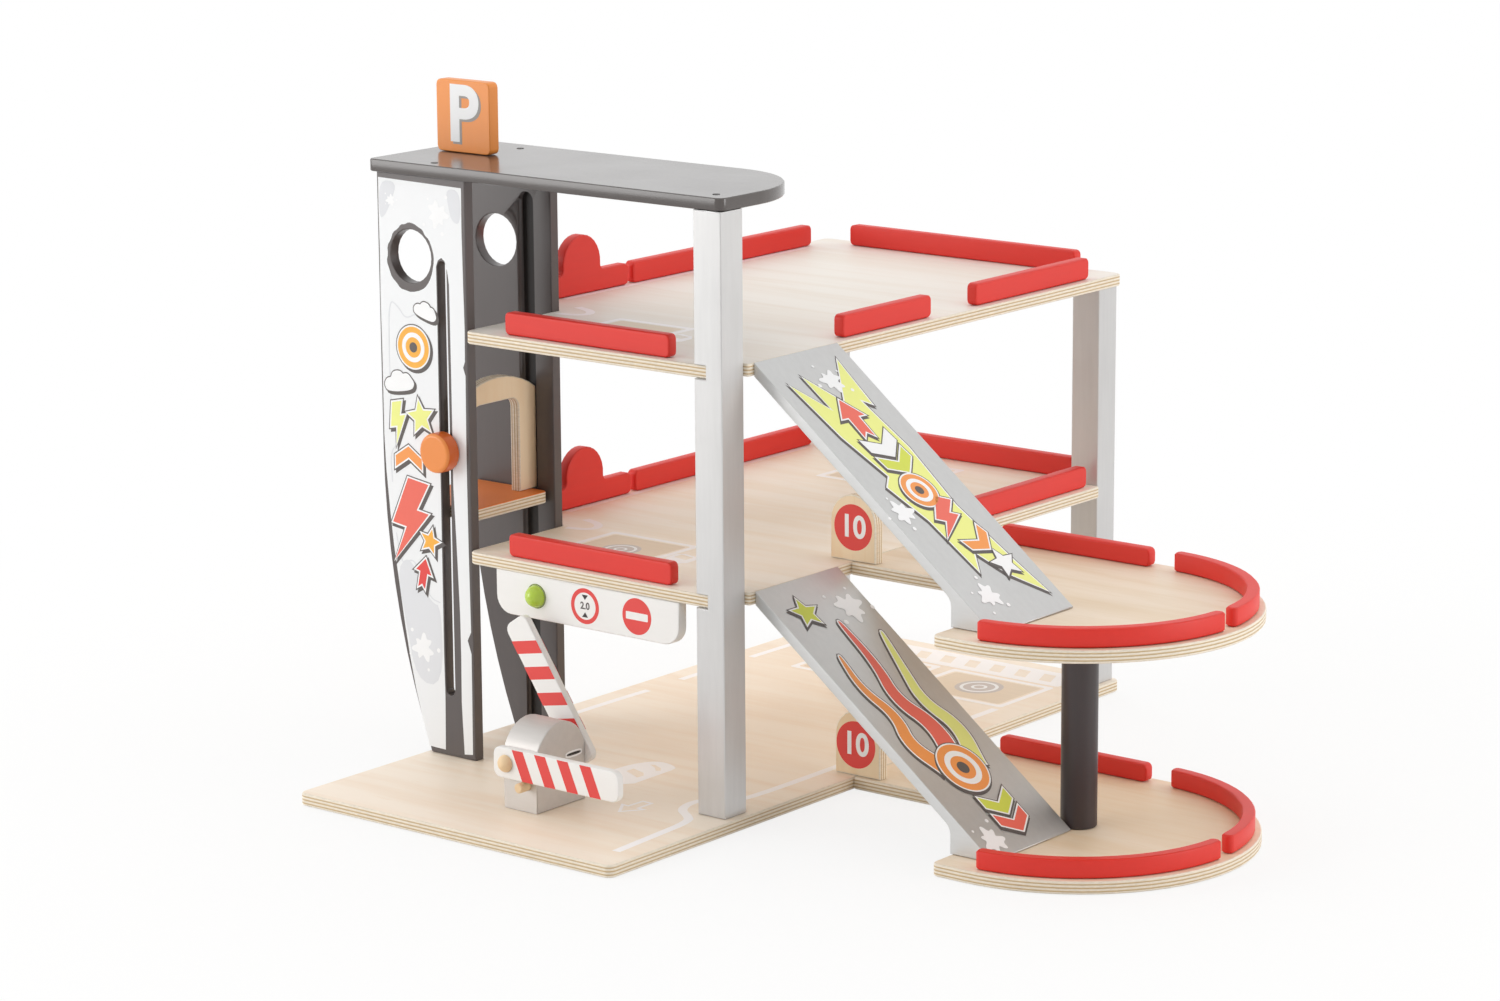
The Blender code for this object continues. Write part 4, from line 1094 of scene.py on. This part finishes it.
entrancePanel = {
    "face": 131.0,
    "clearance": {"centre": (151.5, 140.8), "ring": (12.8, 9.7), "number": "2.0", "size": 7.0},
    "pointer": {"tip": 4.4, "base": 8.0, "half": 2.7},  # above and below the number
    "noEntry": {"centre": (198.6, 140.5), "radius": 13.0, "bar": (9.9, 2.7, 0.7)},
    "lightShadowRing": {"centre": (106.5, 141.3), "ring": (8.9, 8.1)},
}


def buildEntranceSigns():
    face = ontoFront(entrancePanel["face"])
    sign, pointer = entrancePanel["clearance"], entrancePanel["pointer"]
    x, z = sign["centre"]
    printShape("clearanceRing", [circle(x, z, radius) for radius in sign["ring"]], face, "printRed")
    for name, side in (("clearanceUpper", 1), ("clearanceLower", -1)):
        tip, base, half = z + side * pointer["tip"], z + side * pointer["base"], pointer["half"]
        printShape(name, [[(x, tip), (x - half, base), (x + half, base)]], face, "printBlack")
    printNumber("clearanceNumber", sign["number"], sign["size"], (x, z), face, "printInk")
    sign = entrancePanel["noEntry"]
    x, z = sign["centre"]
    printShape("noEntryDisc", [circle(x, z, sign["radius"]), plate(x, z, *sign["bar"])], face, "printRed")
    # painted shadow: a thin olive ring where the green dome meets the panel
    sign = entrancePanel["lightShadowRing"]
    x, z = sign["centre"]
    printShape("lightShadowRing", [circle(x, z, radius) for radius in sign["ring"]], face, "paintedShadowOlive")


signDiscs = {
    # level: x, face y, height of the middle above the board, radius
    "ground": (283.2, 269.5, 22.9, 17.2),
    "middle": (280.6, 270.0, 24.4, 16.6),
}
numberShare = 1.34  # height of the number as a share of the disc's radius


def buildSignDiscs():
    for level, (x, y, height, radius) in signDiscs.items():
        face = ontoFront(y)
        z = levels[level] + ply + height
        printShape("speedDisc_" + level, [circle(x, z, radius)], face, "printRed")
        printNumber("speedNumber_" + level, "10", radius * numberShare, (x, z), face, "printWhite", layer=1)


tollSlit = {
    "centre": (167.0, 98.8, 44.4),
    "half": (7.2, 0.9),
    "rim": 1.5,
    "edge": (0.15, -0.2),  # how far the dark edge reaches out of and into the slit
    "depth": 0.6,
}


def buildTollSlit():
    x, y, z = tollSlit["centre"]
    halfY, halfZ = tollSlit["half"]
    slit = rounded([(-halfY, -halfZ), (halfY, -halfZ), (halfY, halfZ), (-halfY, halfZ)], 2)
    edge, inner = (grown(slit, amount) for amount in tollSlit["edge"])
    face = facing((x, y, z), (0, 1, 0), (0, 0, 1))
    printShape("ticketRim", [grown(slit, tollSlit["rim"]), edge], face, "printWhite")
    printShape("ticketEdge", [edge, inner], face, "printBlack")
    # painted shade: a black sheet set a little inside the slit darkens it
    deep = facing((x - tollSlit["depth"], y, z), (0, 1, 0), (0, 0, 1))
    printShape("ticketSlitShade", [inner], deep, "printBlack")


tileMark = {"face": 187.0, "centre": (-5.0, 465.2), "size": 56.0, "shade": (2.2, -1.6)}


def buildTileMark():
    face = ontoFront(tileMark["face"])
    x, z = tileMark["centre"]
    size, (dx, dz) = tileMark["size"], tileMark["shade"]
    printNumber("tileShade", "P", size, (x + dx, z + dz), face, "printGrey")
    printNumber("tileMark", "P", size, (x, z), face, "printWhite", layer=1)


buildArmStripes()
buildEntranceSigns()
buildSignDiscs()
buildTollSlit()
buildTileMark()
print("arms and signs printed")


# Roof screws

roofScrews = {
    "places": [(10.0, 140.0), (11.0, 230.0), (262.4, 143.0)],
    "radius": 2.6,
    "height": 0.25,
    "edge": 0.12,
}


def buildScrew(name, x, y, top):
    bm = bmesh.new()
    bmesh.ops.create_circle(bm, cap_ends=True, segments=32, radius=roofScrews["radius"])
    base = list(bm.faces)
    raised = bmesh.ops.extrude_face_region(bm, geom=base)
    crown = [v for v in raised["geom"] if isinstance(v, bmesh.types.BMVert)]
    bmesh.ops.translate(bm, verts=crown, vec=(0, 0, roofScrews["height"]))
    bmesh.ops.bevel(bm, geom=[e for e in bm.edges if all(v in crown for v in e.verts)],
                    offset=roofScrews["edge"], segments=2, affect="EDGES", profile=0.5, material=-1)
    bmesh.ops.recalc_face_normals(bm, faces=bm.faces)
    bmesh.ops.transform(bm, matrix=facing((x, y, top), (1, 0, 0), (0, 1, 0)), verts=bm.verts)
    mesh = bpy.data.meshes.new(name)
    bm.to_mesh(mesh)
    bm.free()
    settle(name, mesh, finish["screwBlack"], "garage")


for index, (x, y) in enumerate(roofScrews["places"]):
    buildScrew("roofScrew_%d" % (index + 1), x, y, levels["roof"] + ply)
print("screws set")
